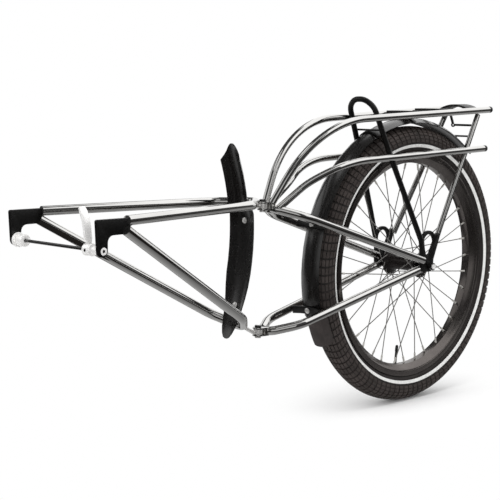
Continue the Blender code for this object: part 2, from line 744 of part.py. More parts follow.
TOP_RAIL_BEND = 0.217
TOP_RAIL_SHOULDER_REACH = 0.0125
TOP_RAIL_SHOULDER_HALF_WIDTH = 0.0355
TOP_RAIL_SHOULDER_DROP = 0.0138
SIDE_RAIL_LOW_BEND = 0.120
SIDE_RAIL_LOW_REACH = 0.0255
SIDE_RAIL_LOW_HALF_WIDTH = 0.0199
SIDE_RAIL_LOW_DROP = 0.0452
SIDE_RAIL_HIGH_BEND = 0.210
SIDE_RAIL_HIGH_SETBACK = 0.0412
SIDE_RAIL_HIGH_SET_IN = 0.0062
SIDE_RAIL_HIGH_DROP = 0.0100


def top_rail_line():
    """From its foot on the hinge fork up and back in one long bend, then straight along the rack."""
    foot = TOP_PIVOT + Vector((-0.0140, 0.0080, 0.0040))
    shoulder = from_axle(
        WHEEL_GUARD_RADIUS + TOP_RAIL_SHOULDER_REACH,
        TOP_RAIL_SHOULDER_HALF_WIDTH,
        RACK_HEIGHT - TOP_RAIL_SHOULDER_DROP,
    )
    return bend([foot, shoulder, from_axle(-RACK_REAR, RACK_HALF_WIDTH, RACK_HEIGHT)], [TOP_RAIL_BEND])


def side_rail_line():
    """From its foot on the upper stays up and outward, then back beside the wheel."""
    foot = TOP_PIVOT + Vector((-0.0230, 0.0140, -0.0050))
    low = from_axle(
        WHEEL_GUARD_RADIUS + SIDE_RAIL_LOW_REACH,
        SIDE_RAIL_LOW_HALF_WIDTH,
        SIDE_RAIL_HEIGHT - SIDE_RAIL_LOW_DROP,
    )
    high = from_axle(
        WHEEL_GUARD_RADIUS - SIDE_RAIL_HIGH_SETBACK,
        SIDE_RAIL_HALF_WIDTH - SIDE_RAIL_HIGH_SET_IN,
        SIDE_RAIL_HEIGHT - SIDE_RAIL_HIGH_DROP,
    )
    end = from_axle(-SIDE_RAIL_REAR, SIDE_RAIL_HALF_WIDTH, SIDE_RAIL_HEIGHT)
    return bend([foot, low, high, end], [SIDE_RAIL_LOW_BEND, SIDE_RAIL_HIGH_BEND])


TOP_RAIL_LINE = top_rail_line()
SIDE_RAIL_LINE = side_rail_line()


def stays():
    upper = tube("upper_stays", UPPER_STAY_LINE, STAY_DIAMETER, CHROME)
    lower = tube("lower_stays", LOWER_STAY_LINE, STAY_DIAMETER, CHROME)
    for side, sign in SIDES:
        cutter = slot_cutter(
            f"{side} stay slot cutter",
            WHEEL.x - 0.020,
            WHEEL.x + 0.030 + GAP,
            WHEEL.z - 0.040,
            WHEEL.z + 0.060,
            sign * DROPOUT_MIDDLE,
            DROPOUT_THICKNESS,
        )
        boolean(upper, cutter)
        boolean(lower, cutter)
    boolean(lower, tube("upper stay cutter", UPPER_STAY_LINE, STAY_DIAMETER + 2 * GAP, None))


def rails():
    stay_cutter = tube("stay cope cutter", UPPER_STAY_LINE, STAY_DIAMETER + 2 * GAP, None)
    fork_cutter = hinge_plate(
        "fork cope cutter",
        TOP_PIVOT,
        [(-FORK_REACH, -LIP_RADIUS - GAP), (LIP_RADIUS, -LIP_RADIUS - GAP), (LIP_RADIUS, LIP_RADIUS + GAP)]
        + [(-FORK_REACH, LIP_RADIUS + GAP)],
        FORK_HALF_HEIGHT + GAP,
        None,
    )
    for side, sign in SIDES:
        for kind, line in (("top", TOP_RAIL_LINE), ("side", SIDE_RAIL_LINE)):
            points = [side_point(point, sign) for point in line]
            rail = tube(f"{side}_{kind}_rail", points, RAIL_DIAMETER, CHROME)
            boolean(rail, stay_cutter)
            boolean(rail, fork_cutter)
            direction = (points[-1] - points[-2]).normalized()
            cap = [
                (0, GAP),
                (RAIL_DIAMETER / 2, GAP),
                (RAIL_DIAMETER / 2, RAIL_CAP_LENGTH * 0.8),
                (RAIL_DIAMETER / 2 - 0.001, RAIL_CAP_LENGTH),
                (0, RAIL_CAP_LENGTH),
            ]
            turned(f"{side}_{kind}_rail_cap", cap, along(points[-1], direction), PLASTIC, 14)


def hoop_line():
    """Left foot, up between the rails, over the hand grip and down the other side."""
    foot = from_axle(HOOP_FOOT_REACH, DROPOUT_MIDDLE, DROPOUT_LEG_TOP - LEG_OVERLAP)
    spread = from_axle(HOOP_SPREAD_REACH, HOOP_SPREAD_HALF_WIDTH, SIDE_RAIL_HEIGHT - HOOP_SPREAD_DROP)
    shoulder = from_axle(HOOP_SHOULDER_REACH, HOOP_SHOULDER_HALF_WIDTH, HOOP_HEIGHT - HOOP_SHOULDER_DROP)
    crown = from_axle(HOOP_CROWN_REACH, HOOP_CROWN_HALF_WIDTH, HOOP_HEIGHT + HOOP_CROWN_RISE)
    corners = [foot, spread, shoulder, crown]
    corners += [mirrored(point) for point in reversed(corners)]
    radii = [HOOP_SPREAD_BEND, HOOP_SHOULDER_BEND, HOOP_CROWN_BEND]
    return bend(corners, radii + radii[::-1])


HOOP_LINE = hoop_line()


def strut_points(sign):
    beside_rail = RACK_HALF_WIDTH - 0.0008 - (RAIL_DIAMETER + STRUT_DIAMETER) / 2 - 2 * GAP
    low = from_axle(-STRUT_FOOT_REACH, DROPOUT_MIDDLE - STRUT_SET_IN, DROPOUT_LEG_TOP - LEG_OVERLAP)
    high = from_axle(STRUT_REAR_SPARE - RACK_REAR, beside_rail, RACK_HEIGHT - STRUT_TOP_DROP)
    return [side_point(low, sign), side_point(high, sign)]


def struts_and_hoop():
    hoop = tube("hand_hoop", HOOP_LINE, HOOP_DIAMETER, BLACK_PAINT)
    for side, sign in SIDES:
        strut = tube(f"{side}_rear_strut", strut_points(sign), STRUT_DIAMETER, CHROME)
        cutter = slot_cutter(
            f"{side} leg slot cutter",
            WHEEL.x - DROPOUT_LEG_TOP,
            WHEEL.x + DROPOUT_LEG_TOP,
            WHEEL.z,
            WHEEL.z + DROPOUT_LEG_TOP + GAP,
            sign * DROPOUT_MIDDLE,
            DROPOUT_THICKNESS,
        )
        boolean(hoop, cutter)
        boolean(strut, cutter)


def dropout_outlines():
    """The arch bracket: a horseshoe over two legs that meet round the axle, with a window between them."""
    arch = (0.0030, 0.0445)
    outer = [(0.0240, 0.0160), (0.0240, 0.0280), (0.0295, DROPOUT_LEG_TOP), (0.0210, DROPOUT_LEG_TOP)]
    outer += arc(arch, 0.0215, math.radians(38), math.radians(142), 8)
    outer += [(-0.0225, DROPOUT_LEG_TOP), (-0.0315, DROPOUT_LEG_TOP - 0.0030), (-0.0115, 0.0120)]
    outer += arc((0.001, 0.002), 0.0120, math.radians(170), math.radians(300), 8)
    outer += [(0.0240, -0.0080)]
    window = arc(arch, 0.0150, math.radians(0), math.radians(180), 10)
    window += [(0.0000, 0.0235), (0.0060, 0.0210), (0.0110, 0.0235)]
    hole = round_hole((0, 0), AXLE_DIAMETER / 2 + GAP)
    return [outer, window, hole]


def dropouts():
    for side, sign in SIDES:
        place = standing(Vector((WHEEL.x, sign * DROPOUT_MIDDLE, WHEEL.z)))
        plate(f"{side}_arch_dropout", dropout_outlines(), DROPOUT_THICKNESS, place, BLACK_PAINT)


def frame_matrix(origin, x_axis, y_axis):
    """Places a plate whose outline runs along two given directions."""
    z_axis = x_axis.cross(y_axis)
    return Matrix.Translation(origin) @ Matrix((x_axis, y_axis, z_axis)).transposed().to_4x4()


def rack():
    half = RAIL_DIAMETER / 2
    for number, name in enumerate(("front_slat", "middle_slat")):
        rail = at_x(TOP_RAIL_LINE, WHEEL.x + FRONT_SLAT - SLAT_SPACING * number)
        reach = rail.y - half - 2 * GAP
        z = rail.z + half - SLAT_THICKNESS / 2
        low = rail.x - SLAT_WIDTH / 2
        high = rail.x + SLAT_WIDTH / 2
        outline = [(low, -reach), (high, -reach), (high, reach), (low, reach)]
        plate(name, [outline], SLAT_THICKNESS, Matrix.Translation((0, 0, z)), BLACK_PAINT)
    rail = at_x(TOP_RAIL_LINE, WHEEL.x - HUMP_SETBACK)
    reach = rail.y - half - 2 * GAP
    radius = crown_radius(reach, HUMP_HEIGHT)
    spread = math.asin(reach / radius)
    center = (0, HUMP_HEIGHT - radius)
    outline = arc(center, radius, math.pi / 2 - spread, math.pi / 2 + spread, 14)
    outline += arc(center, radius - SLAT_THICKNESS, math.pi / 2 + spread, math.pi / 2 - spread, 14)
    base = Vector((rail.x, 0, rail.z - HUMP_FOOT_DROP))
    place = frame_matrix(base, LEFT, UP)
    plate("rear_hump_plate", [outline], HUMP_WIDTH, place, BLACK_PAINT)
    light_bracket(base, center[1], radius - SLAT_THICKNESS - GAP)


def light_bracket(base, center, radius):
    """A bracket hanging under the hump plate: two legs, a bar and an eye at each corner for a lamp."""
    eye = LAMP_HOLE_SPACING / 2
    half_bar = LAMP_BAR / 2
    middle = -LAMP_BRACKET_DROP
    top_inner = LAMP_LEG_SPREAD / 2 - half_bar
    top_outer = LAMP_LEG_SPREAD / 2 + half_bar
    right = [(eye - half_bar, middle + half_bar)]
    right += [(top_inner, center + math.sqrt(radius**2 - top_inner**2))]
    right += [(top_outer, center + math.sqrt(radius**2 - top_outer**2))]
    right += arc((eye, middle), LAMP_EYE_RADIUS, math.radians(45), math.radians(-150), 10)
    outline = right + [(-y, z) for y, z in reversed(right)]
    holes = [round_hole((sign * eye, middle), LAMP_HOLE / 2, 12) for sign in (-1, 1)]
    place = frame_matrix(base - Vector((HUMP_WIDTH / 2 - LAMP_PLATE, 0, 0)), LEFT, UP)
    plate("light_bracket", [outline, *holes], LAMP_PLATE, place, BLACK_PAINT)


# Mudguards and what carries them
def bike_guard_step(angle):
    """0 above the upper tab, where the guard passes between the yoke's tubes, and 1 below it."""
    share = min(1, max(0, (angle - BIKE_GUARD_STEP) / BIKE_GUARD_STEP_LENGTH + 0.5))
    return share * share * (3 - 2 * share)


def bike_guard_half_width(angle):
    from_top = (angle - BIKE_GUARD_TOP) * BIKE_GUARD_RADIUS
    from_tip = (BIKE_GUARD_TIP - angle) * BIKE_GUARD_RADIUS
    widen = min(1, from_tip / BIKE_GUARD_TAPER)
    lower = BIKE_GUARD_TIP_HALF_WIDTH + (BIKE_GUARD_HALF_WIDTH - BIKE_GUARD_TIP_HALF_WIDTH) * widen
    half = BIKE_GUARD_TOP_HALF_WIDTH + (lower - BIKE_GUARD_TOP_HALF_WIDTH) * bike_guard_step(angle)
    if from_top < BIKE_GUARD_POINT:
        return bike_guard_point(from_top)
    return rounded_end(from_tip, half, BIKE_GUARD_CUT * half, BIKE_GUARD_ROUNDING)


def bike_guard_point(distance):
    """Half width of the upper end, whose rounded nose runs into two straight flanks."""
    half = BIKE_GUARD_TOP_HALF_WIDTH
    root = math.sqrt(half**2 - 2 * BIKE_GUARD_POINT * BIKE_GUARD_NOSE)
    slope = (half + root) / (2 * BIKE_GUARD_POINT)
    tangent = BIKE_GUARD_NOSE / (2 * slope**2)
    if distance < tangent:
        return math.sqrt(2 * BIKE_GUARD_NOSE * distance)
    return min(half, slope * (distance + tangent))


def bike_guard_section(angle):
    """Radius of the strip's cross-section, which is deeper above the step."""
    upper = crown_radius(BIKE_GUARD_TOP_HALF_WIDTH, BIKE_GUARD_TOP_CROWN)
    lower = crown_radius(BIKE_GUARD_HALF_WIDTH, BIKE_GUARD_CROWN)
    return upper + (lower - upper) * bike_guard_step(angle)


def bike_guard_radius(angle):
    """Concentric with the bike's wheel, but set in and leaning over it above the step."""
    above = max(0, BIKE_GUARD_STEP - angle) / (BIKE_GUARD_STEP - BIKE_GUARD_TOP)
    return BIKE_GUARD_RADIUS - BIKE_GUARD_SET_IN * (1 - bike_guard_step(angle)) - BIKE_GUARD_LEAN * above


def bike_mudguard():
    """A guard for the bike's wheel, carried by a tab on the nose of each yoke tube."""
    section = crown_radius(BIKE_GUARD_HALF_WIDTH, BIKE_GUARD_CROWN)
    point = BIKE_GUARD_POINT / BIKE_GUARD_RADIUS
    angles = [BIKE_GUARD_TOP + (i / 6) ** 2 * point for i in range(1, 7)]
    angles += eased(angles[-1], BIKE_GUARD_STEP, 8)[1:] + eased(BIKE_GUARD_STEP, BIKE_GUARD_TIP, 16)[1:]
    guard(
        "bike_mudguard",
        Vector((0, 0, 0)),
        bike_guard_radius,
        bike_guard_section,
        GUARD_THICKNESS,
        angles,
        bike_guard_half_width,
        GLOSS_BLACK,
    )
    back = BIKE_GUARD_RADIUS + GUARD_THICKNESS / 2 + GAP
    dish = GUARD_BOLT_DIAMETER**2 / 8 / section + GAP
    front = BIKE_GUARD_RADIUS - GUARD_THICKNESS / 2 - GAP - dish
    for level, line, diameter, angle, away in (
        ("upper", UPPER_YOKE_LINE, UPPER_TUBE_DIAMETER, UPPER_GUARD_BOLT, 1),
        ("lower", LOWER_YOKE_LINE, LOWER_TUBE_DIAMETER, LOWER_GUARD_BOLT, -1),
    ):
        outward = Vector((math.cos(angle), 0, math.sin(angle)))
        nose = middle_of(line)
        foot = outward * (back + TAB_THICKNESS / 2)
        run = nose - foot
        run -= outward * run.dot(outward)
        length = run.length
        outline = [(-TAB_WIDTH / 2, 0), (-TAB_WIDTH / 2, length)]
        outline += [(TAB_WIDTH / 2, length), (TAB_WIDTH / 2, 0)]
        outline += arc((0, 0), TAB_WIDTH / 2, 0, -math.pi, 8)[1:-1]
        place = frame_matrix(foot, LEFT, run.normalized())
        tab = plate(f"{level}_fender_tab", [outline], TAB_THICKNESS, place, CHROME)
        boolean(tab, tube(f"{level} tab cutter", line, diameter + 2 * GAP, None))
        seat = along(outward * front, -outward)
        turned(f"{level}_bike_guard_bolt", dome_head(), seat, ZINC, 16)


def dome_head():
    """Turned profile of the round head of a mudguard's bolt."""
    flank = GUARD_BOLT_DIAMETER / 2
    top = GUARD_BOLT_DIAMETER * 0.28
    return [(0, 0), (flank, 0), (flank, 0.0012), (top, 0.0030), (0, GUARD_BOLT_HEIGHT)]


def wheel_guard_half_width(angle):
    distance = min(angle - WHEEL_GUARD_FRONT, WHEEL_GUARD_REAR - angle) * WHEEL_GUARD_RADIUS
    return rounded_end(distance, WHEEL_GUARD_HALF_WIDTH, GUARD_CORNER, GUARD_CORNER)


def wheel_guard_radius(angle):
    return WHEEL_GUARD_RADIUS


def flap_radius(angle):
    return WHEEL_GUARD_RADIUS - FLAP_INSET


def flap_half_width(angle):
    distance = (angle - FLAP_TIP) * WHEEL_GUARD_RADIUS
    return rounded_end(distance, FLAP_HALF_WIDTH, GUARD_CORNER, GUARD_CORNER)


def wheel_mudguard():
    section = crown_radius(WHEEL_GUARD_HALF_WIDTH, WHEEL_GUARD_CROWN)
    guard(
        "wheel_mudguard",
        WHEEL,
        wheel_guard_radius,
        lambda angle: section,
        GUARD_THICKNESS,
        eased(WHEEL_GUARD_FRONT, WHEEL_GUARD_REAR, 32),
        wheel_guard_half_width,
        GLOSS_BLACK,
    )
    guard(
        "mud_flap",
        WHEEL,
        flap_radius,
        lambda angle: section - FLAP_INSET,
        FLAP_THICKNESS,
        eased(FLAP_TIP, WHEEL_GUARD_FRONT + FLAP_OVERLAP / WHEEL_GUARD_RADIUS, 10),
        flap_half_width,
        RUBBER,
    )
    crown = WHEEL_GUARD_RADIUS + GUARD_THICKNESS / 2 + GAP
    for level, line, bow in (("upper", UPPER_STAY_LINE, 0.002), ("lower", LOWER_STAY_LINE, 0.006)):
        bridge(level, line, crown, bow)
    cross_bar("mudguard_wire", HOOP_LINE, HOOP_DIAMETER, crown + BAND_THICKNESS + GAP)
    cross_bar("mudguard_rear_stay", strut_points(1), STRUT_DIAMETER, crown)
    wire = at_reach(HOOP_LINE, crown + BAND_THICKNESS + GAP + WIRE_DIAMETER / 2) - WHEEL
    slat = at_x(TOP_RAIL_LINE, WHEEL.x + FRONT_SLAT)
    outside = section + GUARD_THICKNESS / 2 + GAP
    for name, direction in (
        ("front_guard_band", Vector((wire.x, 0, wire.z))),
        ("top_guard_band", Vector((FRONT_SLAT, 0, crown))),
    ):
        spread = math.asin(WHEEL_GUARD_HALF_WIDTH / section)
        center = (0, crown - outside)
        outline = arc(center, outside + BAND_THICKNESS, math.pi / 2 - spread, math.pi / 2 + spread, 10)
        outline += arc(center, outside, math.pi / 2 + spread, math.pi / 2 - spread, 10)
        plate(name, [outline], BAND_WIDTH, frame_matrix(WHEEL, LEFT, direction.normalized()), BLACK_PAINT)
    foot = WHEEL + Vector((FRONT_SLAT, 0, crown)).normalized() * (crown + BAND_THICKNESS + GAP)
    height = slat.z + RAIL_DIAMETER / 2 - SLAT_THICKNESS - GAP - foot.z
    turned("guard_post", rod(POST_DIAMETER / 2, 0, height), Matrix.Translation(foot), BLACK_PAINT, 14)


def at_reach(points, reach):
    """The first point of a centre line, from its left end, at a distance from the wheel's axle."""
    for a, b in zip(points, points[1:]):
        near = math.hypot(a.x - WHEEL.x, a.z - WHEEL.z)
        far = math.hypot(b.x - WHEEL.x, b.z - WHEEL.z)
        if near <= reach <= far:
            return a.lerp(b, (reach - near) / (far - near))
    raise ValueError("the centre line doesn't reach that far")


def bridge(level, line, crown, bow):
    """A strap across the two stays that the mudguard is bolted to."""
    end = at_reach(line, crown + BRIDGE_THICKNESS / 2 + bow)
    radial = Vector((end.x - WHEEL.x, 0, end.z - WHEEL.z)).normalized()
    reach = end.y - STAY_DIAMETER / 2 - 2.5 * GAP
    curve = crown_radius(reach, bow)
    spread = math.asin(reach / curve)
    center = (0, crown + curve)
    outline = arc(center, curve, -math.pi / 2 - spread, -math.pi / 2 + spread, 12)
    outline += arc(center, curve - BRIDGE_THICKNESS, -math.pi / 2 + spread, -math.pi / 2 - spread, 12)
    place = frame_matrix(WHEEL, LEFT, radial)
    plate(f"{level}_mudguard_bridge", [outline], BRIDGE_HEIGHT, place, BLACK_PAINT)
    dish = GUARD_BOLT_DIAMETER**2 / 8 / curve + GAP
    seat = WHEEL + radial * (crown + BRIDGE_THICKNESS + GAP + dish)
    turned(f"{level}_mudguard_bolt", dome_head(), along(seat, radial), ZINC, 16)


def cross_bar(name, line, diameter, crown):
    """A thin bar across the two sides of the frame that rests on the mudguard's crown."""
    end = at_reach(line, crown + WIRE_DIAMETER / 2)
    reach = end.y - diameter / 2 - 2 * GAP
    middle = Vector((end.x, 0, end.z))
    tube(name, [middle + LEFT * reach, middle - LEFT * reach], WIRE_DIAMETER, BLACK_PAINT, 8)


# Wheel
def wheel():
    place = Matrix.Translation(WHEEL) @ Matrix.Rotation(math.radians(-90), 4, "X")
    shelf = RIM_EDGE_RADIUS - RIM_FLANGE_HEIGHT
    half = RIM_WIDTH / 2
    right = [
        (RIM_BED_RADIUS, 0.0030),
        (RIM_BED_RADIUS + 0.0040, half - 0.0080),
        (shelf - 0.0040, half - 0.0015),
        (RIM_EDGE_RADIUS, half),
        (RIM_EDGE_RADIUS, half - RIM_WALL),
        (shelf, half - RIM_WALL - 0.0005),
        (shelf, half - 0.0085),
        (shelf - 0.0030, half - 0.0115),
    ]
    profile = [(radius, -y) for radius, y in reversed(right)] + right
    pivoted(turned("rim", profile + profile[:1], place, ANODISED, WHEEL_FACETS), WHEEL)
    pivoted(turned("tyre", tyre_profile(shelf), place, RUBBER, WHEEL_FACETS), WHEEL)
    hub(place)
    inward = Vector((-math.cos(VALVE_ANGLE), 0, -math.sin(VALVE_ANGLE)))
    seat = WHEEL - inward * (RIM_BED_RADIUS - 2 * GAP)
    stem = [
        (0, 0),
        (VALVE_DIAMETER / 2, 0),
        (VALVE_DIAMETER / 2, VALVE_LENGTH * 0.55),
        (VALVE_DIAMETER / 2 + 0.0007, VALVE_LENGTH * 0.58),
        (VALVE_DIAMETER / 2 + 0.0007, VALVE_LENGTH),
        (0, VALVE_LENGTH),
    ]
    pivoted(turned("valve", stem, along(seat, inward), PLASTIC, 12), WHEEL)


def tyre_profile(shelf):
    """A horseshoe section: the outer skin round to both beads, then the inner skin back."""
    section = (TYRE_RADIUS - RIM_EDGE_RADIUS) / (1 + math.cos(math.radians(40)))
    center = TYRE_RADIUS - section
    half = TYRE_WIDTH / 2
    bead_outer = RIM_WIDTH / 2 - RIM_WALL - 0.0008
    bead_inner = bead_outer - TYRE_WALL

    def skin(sink, angle):
        turn = math.radians(angle)
        return (center + (section - sink) * math.cos(turn), (half - sink) * math.sin(turn))

    outer = [skin(0, angle) for angle in range(-140, 141, 20)]
    inner = [skin(TYRE_WALL, angle) for angle in range(128, -129, -32)]
    left_bead = [(shelf + GAP, -bead_inner), (shelf + GAP, -bead_outer)]
    left_bead.append((RIM_EDGE_RADIUS + GAP, -bead_outer))
    right_bead = [(radius, -y) for radius, y in reversed(left_bead)]
    profile = left_bead + outer + right_bead + inner
    return profile + profile[:1]


def hub(place):
    flange = FLANGE_SPACING / 2
    shell = HUB_SHELL_DIAMETER / 2
    bore = AXLE_DIAMETER / 2 + GAP
    end = DROPOUT_INNER - GAP
    right = [
        (shell, flange - FLANGE_THICKNESS / 2 - 0.006),
        (FLANGE_RADIUS, flange - FLANGE_THICKNESS / 2),
        (FLANGE_RADIUS, flange + FLANGE_THICKNESS / 2),
        (shell * 0.85, flange + FLANGE_THICKNESS / 2 + 0.0015),
        (shell * 0.80, flange + 0.0085),
        (0.0080, flange + 0.0090),
        (0.0080, end),
        (bore, end),
    ]
    profile = [(radius, -y) for radius, y in reversed(right)] + right
    body = turned("hub_and_spokes", profile + profile[:1], place, ANODISED, 24)
    boolean(body, spokes(), "UNION")
    pivoted(body, WHEEL)


def axle():
    turned("axle", rod(AXLE_DIAMETER / 2, -AXLE_LENGTH / 2, AXLE_LENGTH / 2), along(WHEEL, LEFT), ZINC, 16)
    for side, sign in SIDES:
        outer = DROPOUT_OUTER + GAP
        nut = collar(AXLE_DIAMETER / 2 + GAP, AXLE_NUT_DIAMETER / 2, outer, outer + AXLE_NUT_LENGTH)
        turned(f"{side}_axle_nut", nut, along(WHEEL, sign * LEFT), PLASTIC, 16)


def spokes():
    """Tangent spokes in crossing pairs, each with its nipple, in one mesh of separate rods."""
    bm = bmesh.new()
    per_side = SPOKE_COUNT // 2
    pitch = 2 * math.pi / per_side
    swing = SPOKE_CROSSINGS * 4 * math.pi / SPOKE_COUNT
    hole_radius = FLANGE_RADIUS - SPOKE_HOLE_INSET
    rim_reach = RIM_BED_RADIUS - 4 * GAP
    for sign in (1, -1):
        for i in range(per_side):
            leading = 1 if i % 2 else -1
            at_hub = i * pitch + (0 if sign > 0 else pitch / 2)
            at_rim = at_hub + leading * swing
            y_hub = sign * (FLANGE_SPACING / 2 + leading * SPOKE_LEAN)
            y_rim = sign * (SPOKE_RIM_OFFSET + leading * SPOKE_LEAN)
            start = Vector((hole_radius * math.cos(at_hub), y_hub, hole_radius * math.sin(at_hub)))
            stop = Vector((rim_reach * math.cos(at_rim), y_rim, rim_reach * math.sin(at_rim)))
            stages = (
                (0, SPOKE_DIAMETER / 2),
                (1 - NIPPLE_LENGTH / (stop - start).length, SPOKE_DIAMETER / 2),
                (1 - NIPPLE_LENGTH / (stop - start).length, NIPPLE_DIAMETER / 2),
                (1, NIPPLE_DIAMETER / 2),
            )
            turn = along(WHEEL + start, stop - start).to_3x3()
            rings = []
            for share, radius in stages:
                center = WHEEL + start.lerp(stop, share)
                corners = round_hole((0, 0), radius, SPOKE_SIDES)
                rings.append([bm.verts.new(center + turn @ Vector((x, y, 0))) for x, y in corners])
            for low, high in zip(rings, rings[1:]):
                for k in range(SPOKE_SIDES):
                    after = (k + 1) % SPOKE_SIDES
                    bm.faces.new((low[k], low[after], high[after], high[k]))
            bm.faces.new(rings[0][::-1])
            bm.faces.new(rings[-1])
    return from_bmesh("spoke set", bm, None)


# Pieces are built body by body, and an empty on each joint's axis carries those that turn about it
def built(*steps):
    before = set(bpy.data.objects)
    for step in steps:
        step()
    return [obj for obj in bpy.data.objects if obj not in before and not obj.hide_render]


def turning(name, point, direction, pieces):
    """An empty on a joint, its local Z along the axis, as the parent of the pieces that it turns."""
    empty = bpy.data.objects.new(name, None)
    bpy.context.scene.collection.objects.link(empty)
    empty.location = point
    empty.rotation_euler = direction.to_track_quat("Z", "Y").to_euler()
    bpy.context.view_layer.update()
    for piece in pieces:
        piece.parent = empty
        piece.matrix_parent_inverse = empty.matrix_world.inverted()
    return empty


def hinge_forks():
    forks = (("upper", TOP_PIVOT, UPPER_STAY_LINE), ("lower", LOW_PIVOT, LOWER_STAY_LINE))
    for level, pivot, line in forks:
        clevis(f"{level}_clevis", pivot, line, STAY_DIAMETER)
        hinge_fastener(level, pivot)


yoke_tubes()
dropout_plates()
rod_end("upper_rod_end", TOP_PIVOT, UPPER_YOKE_LINE, UPPER_TUBE_DIAMETER)
rod_end("lower_rod_end", LOW_PIVOT, LOWER_YOKE_LINE, LOWER_TUBE_DIAMETER)
bike_mudguard()
turning("skewer_axis", Vector((0, 0, 0)), LEFT, built(skewer))
wheel_axis = turning("wheel_axis", WHEEL, LEFT, built(wheel))
rear_frame = built(hinge_forks, stays, rails, struts_and_hoop, dropouts, rack, wheel_mudguard, axle)
turning("steering_axis", LOW_PIVOT, HINGE_AXIS, rear_frame + [wheel_axis])
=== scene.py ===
import json
import math

import bmesh
import bpy
from mathutils import Matrix, Vector


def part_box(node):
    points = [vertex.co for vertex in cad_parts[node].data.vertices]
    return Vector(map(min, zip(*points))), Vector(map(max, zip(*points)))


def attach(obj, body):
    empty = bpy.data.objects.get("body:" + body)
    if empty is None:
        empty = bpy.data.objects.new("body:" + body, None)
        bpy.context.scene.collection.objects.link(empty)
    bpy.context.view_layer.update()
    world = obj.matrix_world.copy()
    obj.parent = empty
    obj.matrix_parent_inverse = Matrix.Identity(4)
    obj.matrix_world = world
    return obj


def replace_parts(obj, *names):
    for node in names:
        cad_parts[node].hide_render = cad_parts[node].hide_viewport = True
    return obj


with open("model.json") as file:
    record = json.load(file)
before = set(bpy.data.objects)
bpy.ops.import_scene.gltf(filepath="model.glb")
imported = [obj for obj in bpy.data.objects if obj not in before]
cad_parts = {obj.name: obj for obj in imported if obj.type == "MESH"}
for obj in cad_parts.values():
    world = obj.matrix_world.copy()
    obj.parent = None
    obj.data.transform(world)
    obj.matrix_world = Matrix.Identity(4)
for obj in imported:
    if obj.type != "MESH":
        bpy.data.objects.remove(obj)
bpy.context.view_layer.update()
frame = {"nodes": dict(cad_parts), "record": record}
nodes = frame["nodes"]
print("stage 1: frame loaded")

# The camera stands where the photo was taken, as solved on the wheel's circles and the tubes
view = {
    "place": (1.19116, 1.58932, 0.2381), "yaw": -2.354, "pitch": -0.124,  # radians
    "lens": 98.79, "sensor": 36.0, "farthest": 60.0,
}
camera = bpy.data.objects.new("camera", bpy.data.cameras.new("camera"))
bpy.context.scene.collection.objects.link(camera)
camera.data.lens = view["lens"]
camera.data.sensor_width = view["sensor"]
camera.data.clip_end = view["farthest"]
camera.location = view["place"]
lookAlong = Vector((
    math.cos(view["pitch"]) * math.cos(view["yaw"]),
    math.cos(view["pitch"]) * math.sin(view["yaw"]),
    math.sin(view["pitch"]),
))
camera.rotation_euler = lookAlong.to_track_quat("-Z", "Y").to_euler()
bpy.context.scene.camera = camera

millimetres = 1000  # in a metre
# Two noises make each finish: broad patches for its tone, and a fine grain for its roughness and relief
noises = {
    "patchDetail": 4.0, "patchRange": (0.35, 0.65), "grainDetail": 3.0, "grainRange": (0.3, 0.7), "strength": 0.6,
}


def hexColour(code):
    channels = [int(code[i:i + 2], 16) / 255 for i in (1, 3, 5)]
    return tuple(c / 12.92 if c <= 0.04045 else ((c + 0.055) / 1.055) ** 2.4 for c in channels) + (1.0,)


def addNode(material, kind, settings=None, links=None):
    node = material.node_tree.nodes.new(kind)
    for key, value in (settings or {}).items():
        if isinstance(key, int) or key in node.inputs:
            node.inputs[key].default_value = value
        else:
            setattr(node, key, value)
    for key, socket in (links or {}).items():
        material.node_tree.links.new(socket, node.inputs[key])
    return node


def surface(name, look):
    # look: tone and worn (hex), patch, grain and depth (mm), rough (low, high), metal, and other sockets
    material = bpy.data.materials.new(name)
    material.use_nodes = True
    shader = material.node_tree.nodes["Principled BSDF"]
    place = addNode(material, "ShaderNodeTexCoord").outputs["Object"]
    patches, grain = (
        addNode(
            material, "ShaderNodeTexNoise",
            {"Scale": millimetres / look[kind], "Detail": noises[kind + "Detail"]}, {"Vector": place},
        ).outputs["Fac"]
        for kind in ("patch", "grain")
    )
    tones = addNode(material, "ShaderNodeValToRGB", None, {"Fac": patches})
    for stop, position, tone in zip(tones.color_ramp.elements, noises["patchRange"], (look["worn"], look["tone"])):
        stop.position = position
        stop.color = hexColour(tone)
    grainLow, grainHigh = noises["grainRange"]
    roughLow, roughHigh = look["rough"]
    rough = addNode(
        material, "ShaderNodeMapRange",
        {"From Min": grainLow, "From Max": grainHigh, "To Min": roughLow, "To Max": roughHigh}, {"Value": grain},
    )
    bump = addNode(
        material, "ShaderNodeBump",
        {"Strength": look.get("strength", noises["strength"]), "Distance": look["depth"] / millimetres},
        {"Height": grain},
    )
    shader.inputs["Metallic"].default_value = look["metal"]
    for key, value in look.get("sockets", {}).items():
        shader.inputs[key].default_value = value
    join = material.node_tree.links.new
    join(tones.outputs["Color"], shader.inputs["Base Color"])
    join(rough.outputs["Result"], shader.inputs["Roughness"])
    join(bump.outputs["Normal"], shader.inputs["Normal"])
    return material


# Steel tube, polished and chrome plated: a mirror with a faint haze, whose marks are drawn coarse at 9 mm
chromePlatedTube = surface("chrome plated steel tube", {
    "tone": "#dbdad8", "worn": "#d3d2d0", "patch": 60.0, "grain": 9.0, "depth": 0.001,
    "rough": (0.03, 0.06), "metal": 1.0, "strength": 0.1,
})
# Aluminium, cast and buffed: softer and whiter than chrome, with a buffing ripple 1.5 mm wide
polishedAluminium = surface("polished cast aluminium", {
    "tone": "#fdfcfb", "worn": "#f6f5f3", "patch": 14.0, "grain": 1.5, "depth": 0.01,
    "rough": (0.24, 0.34), "metal": 0.3,
})
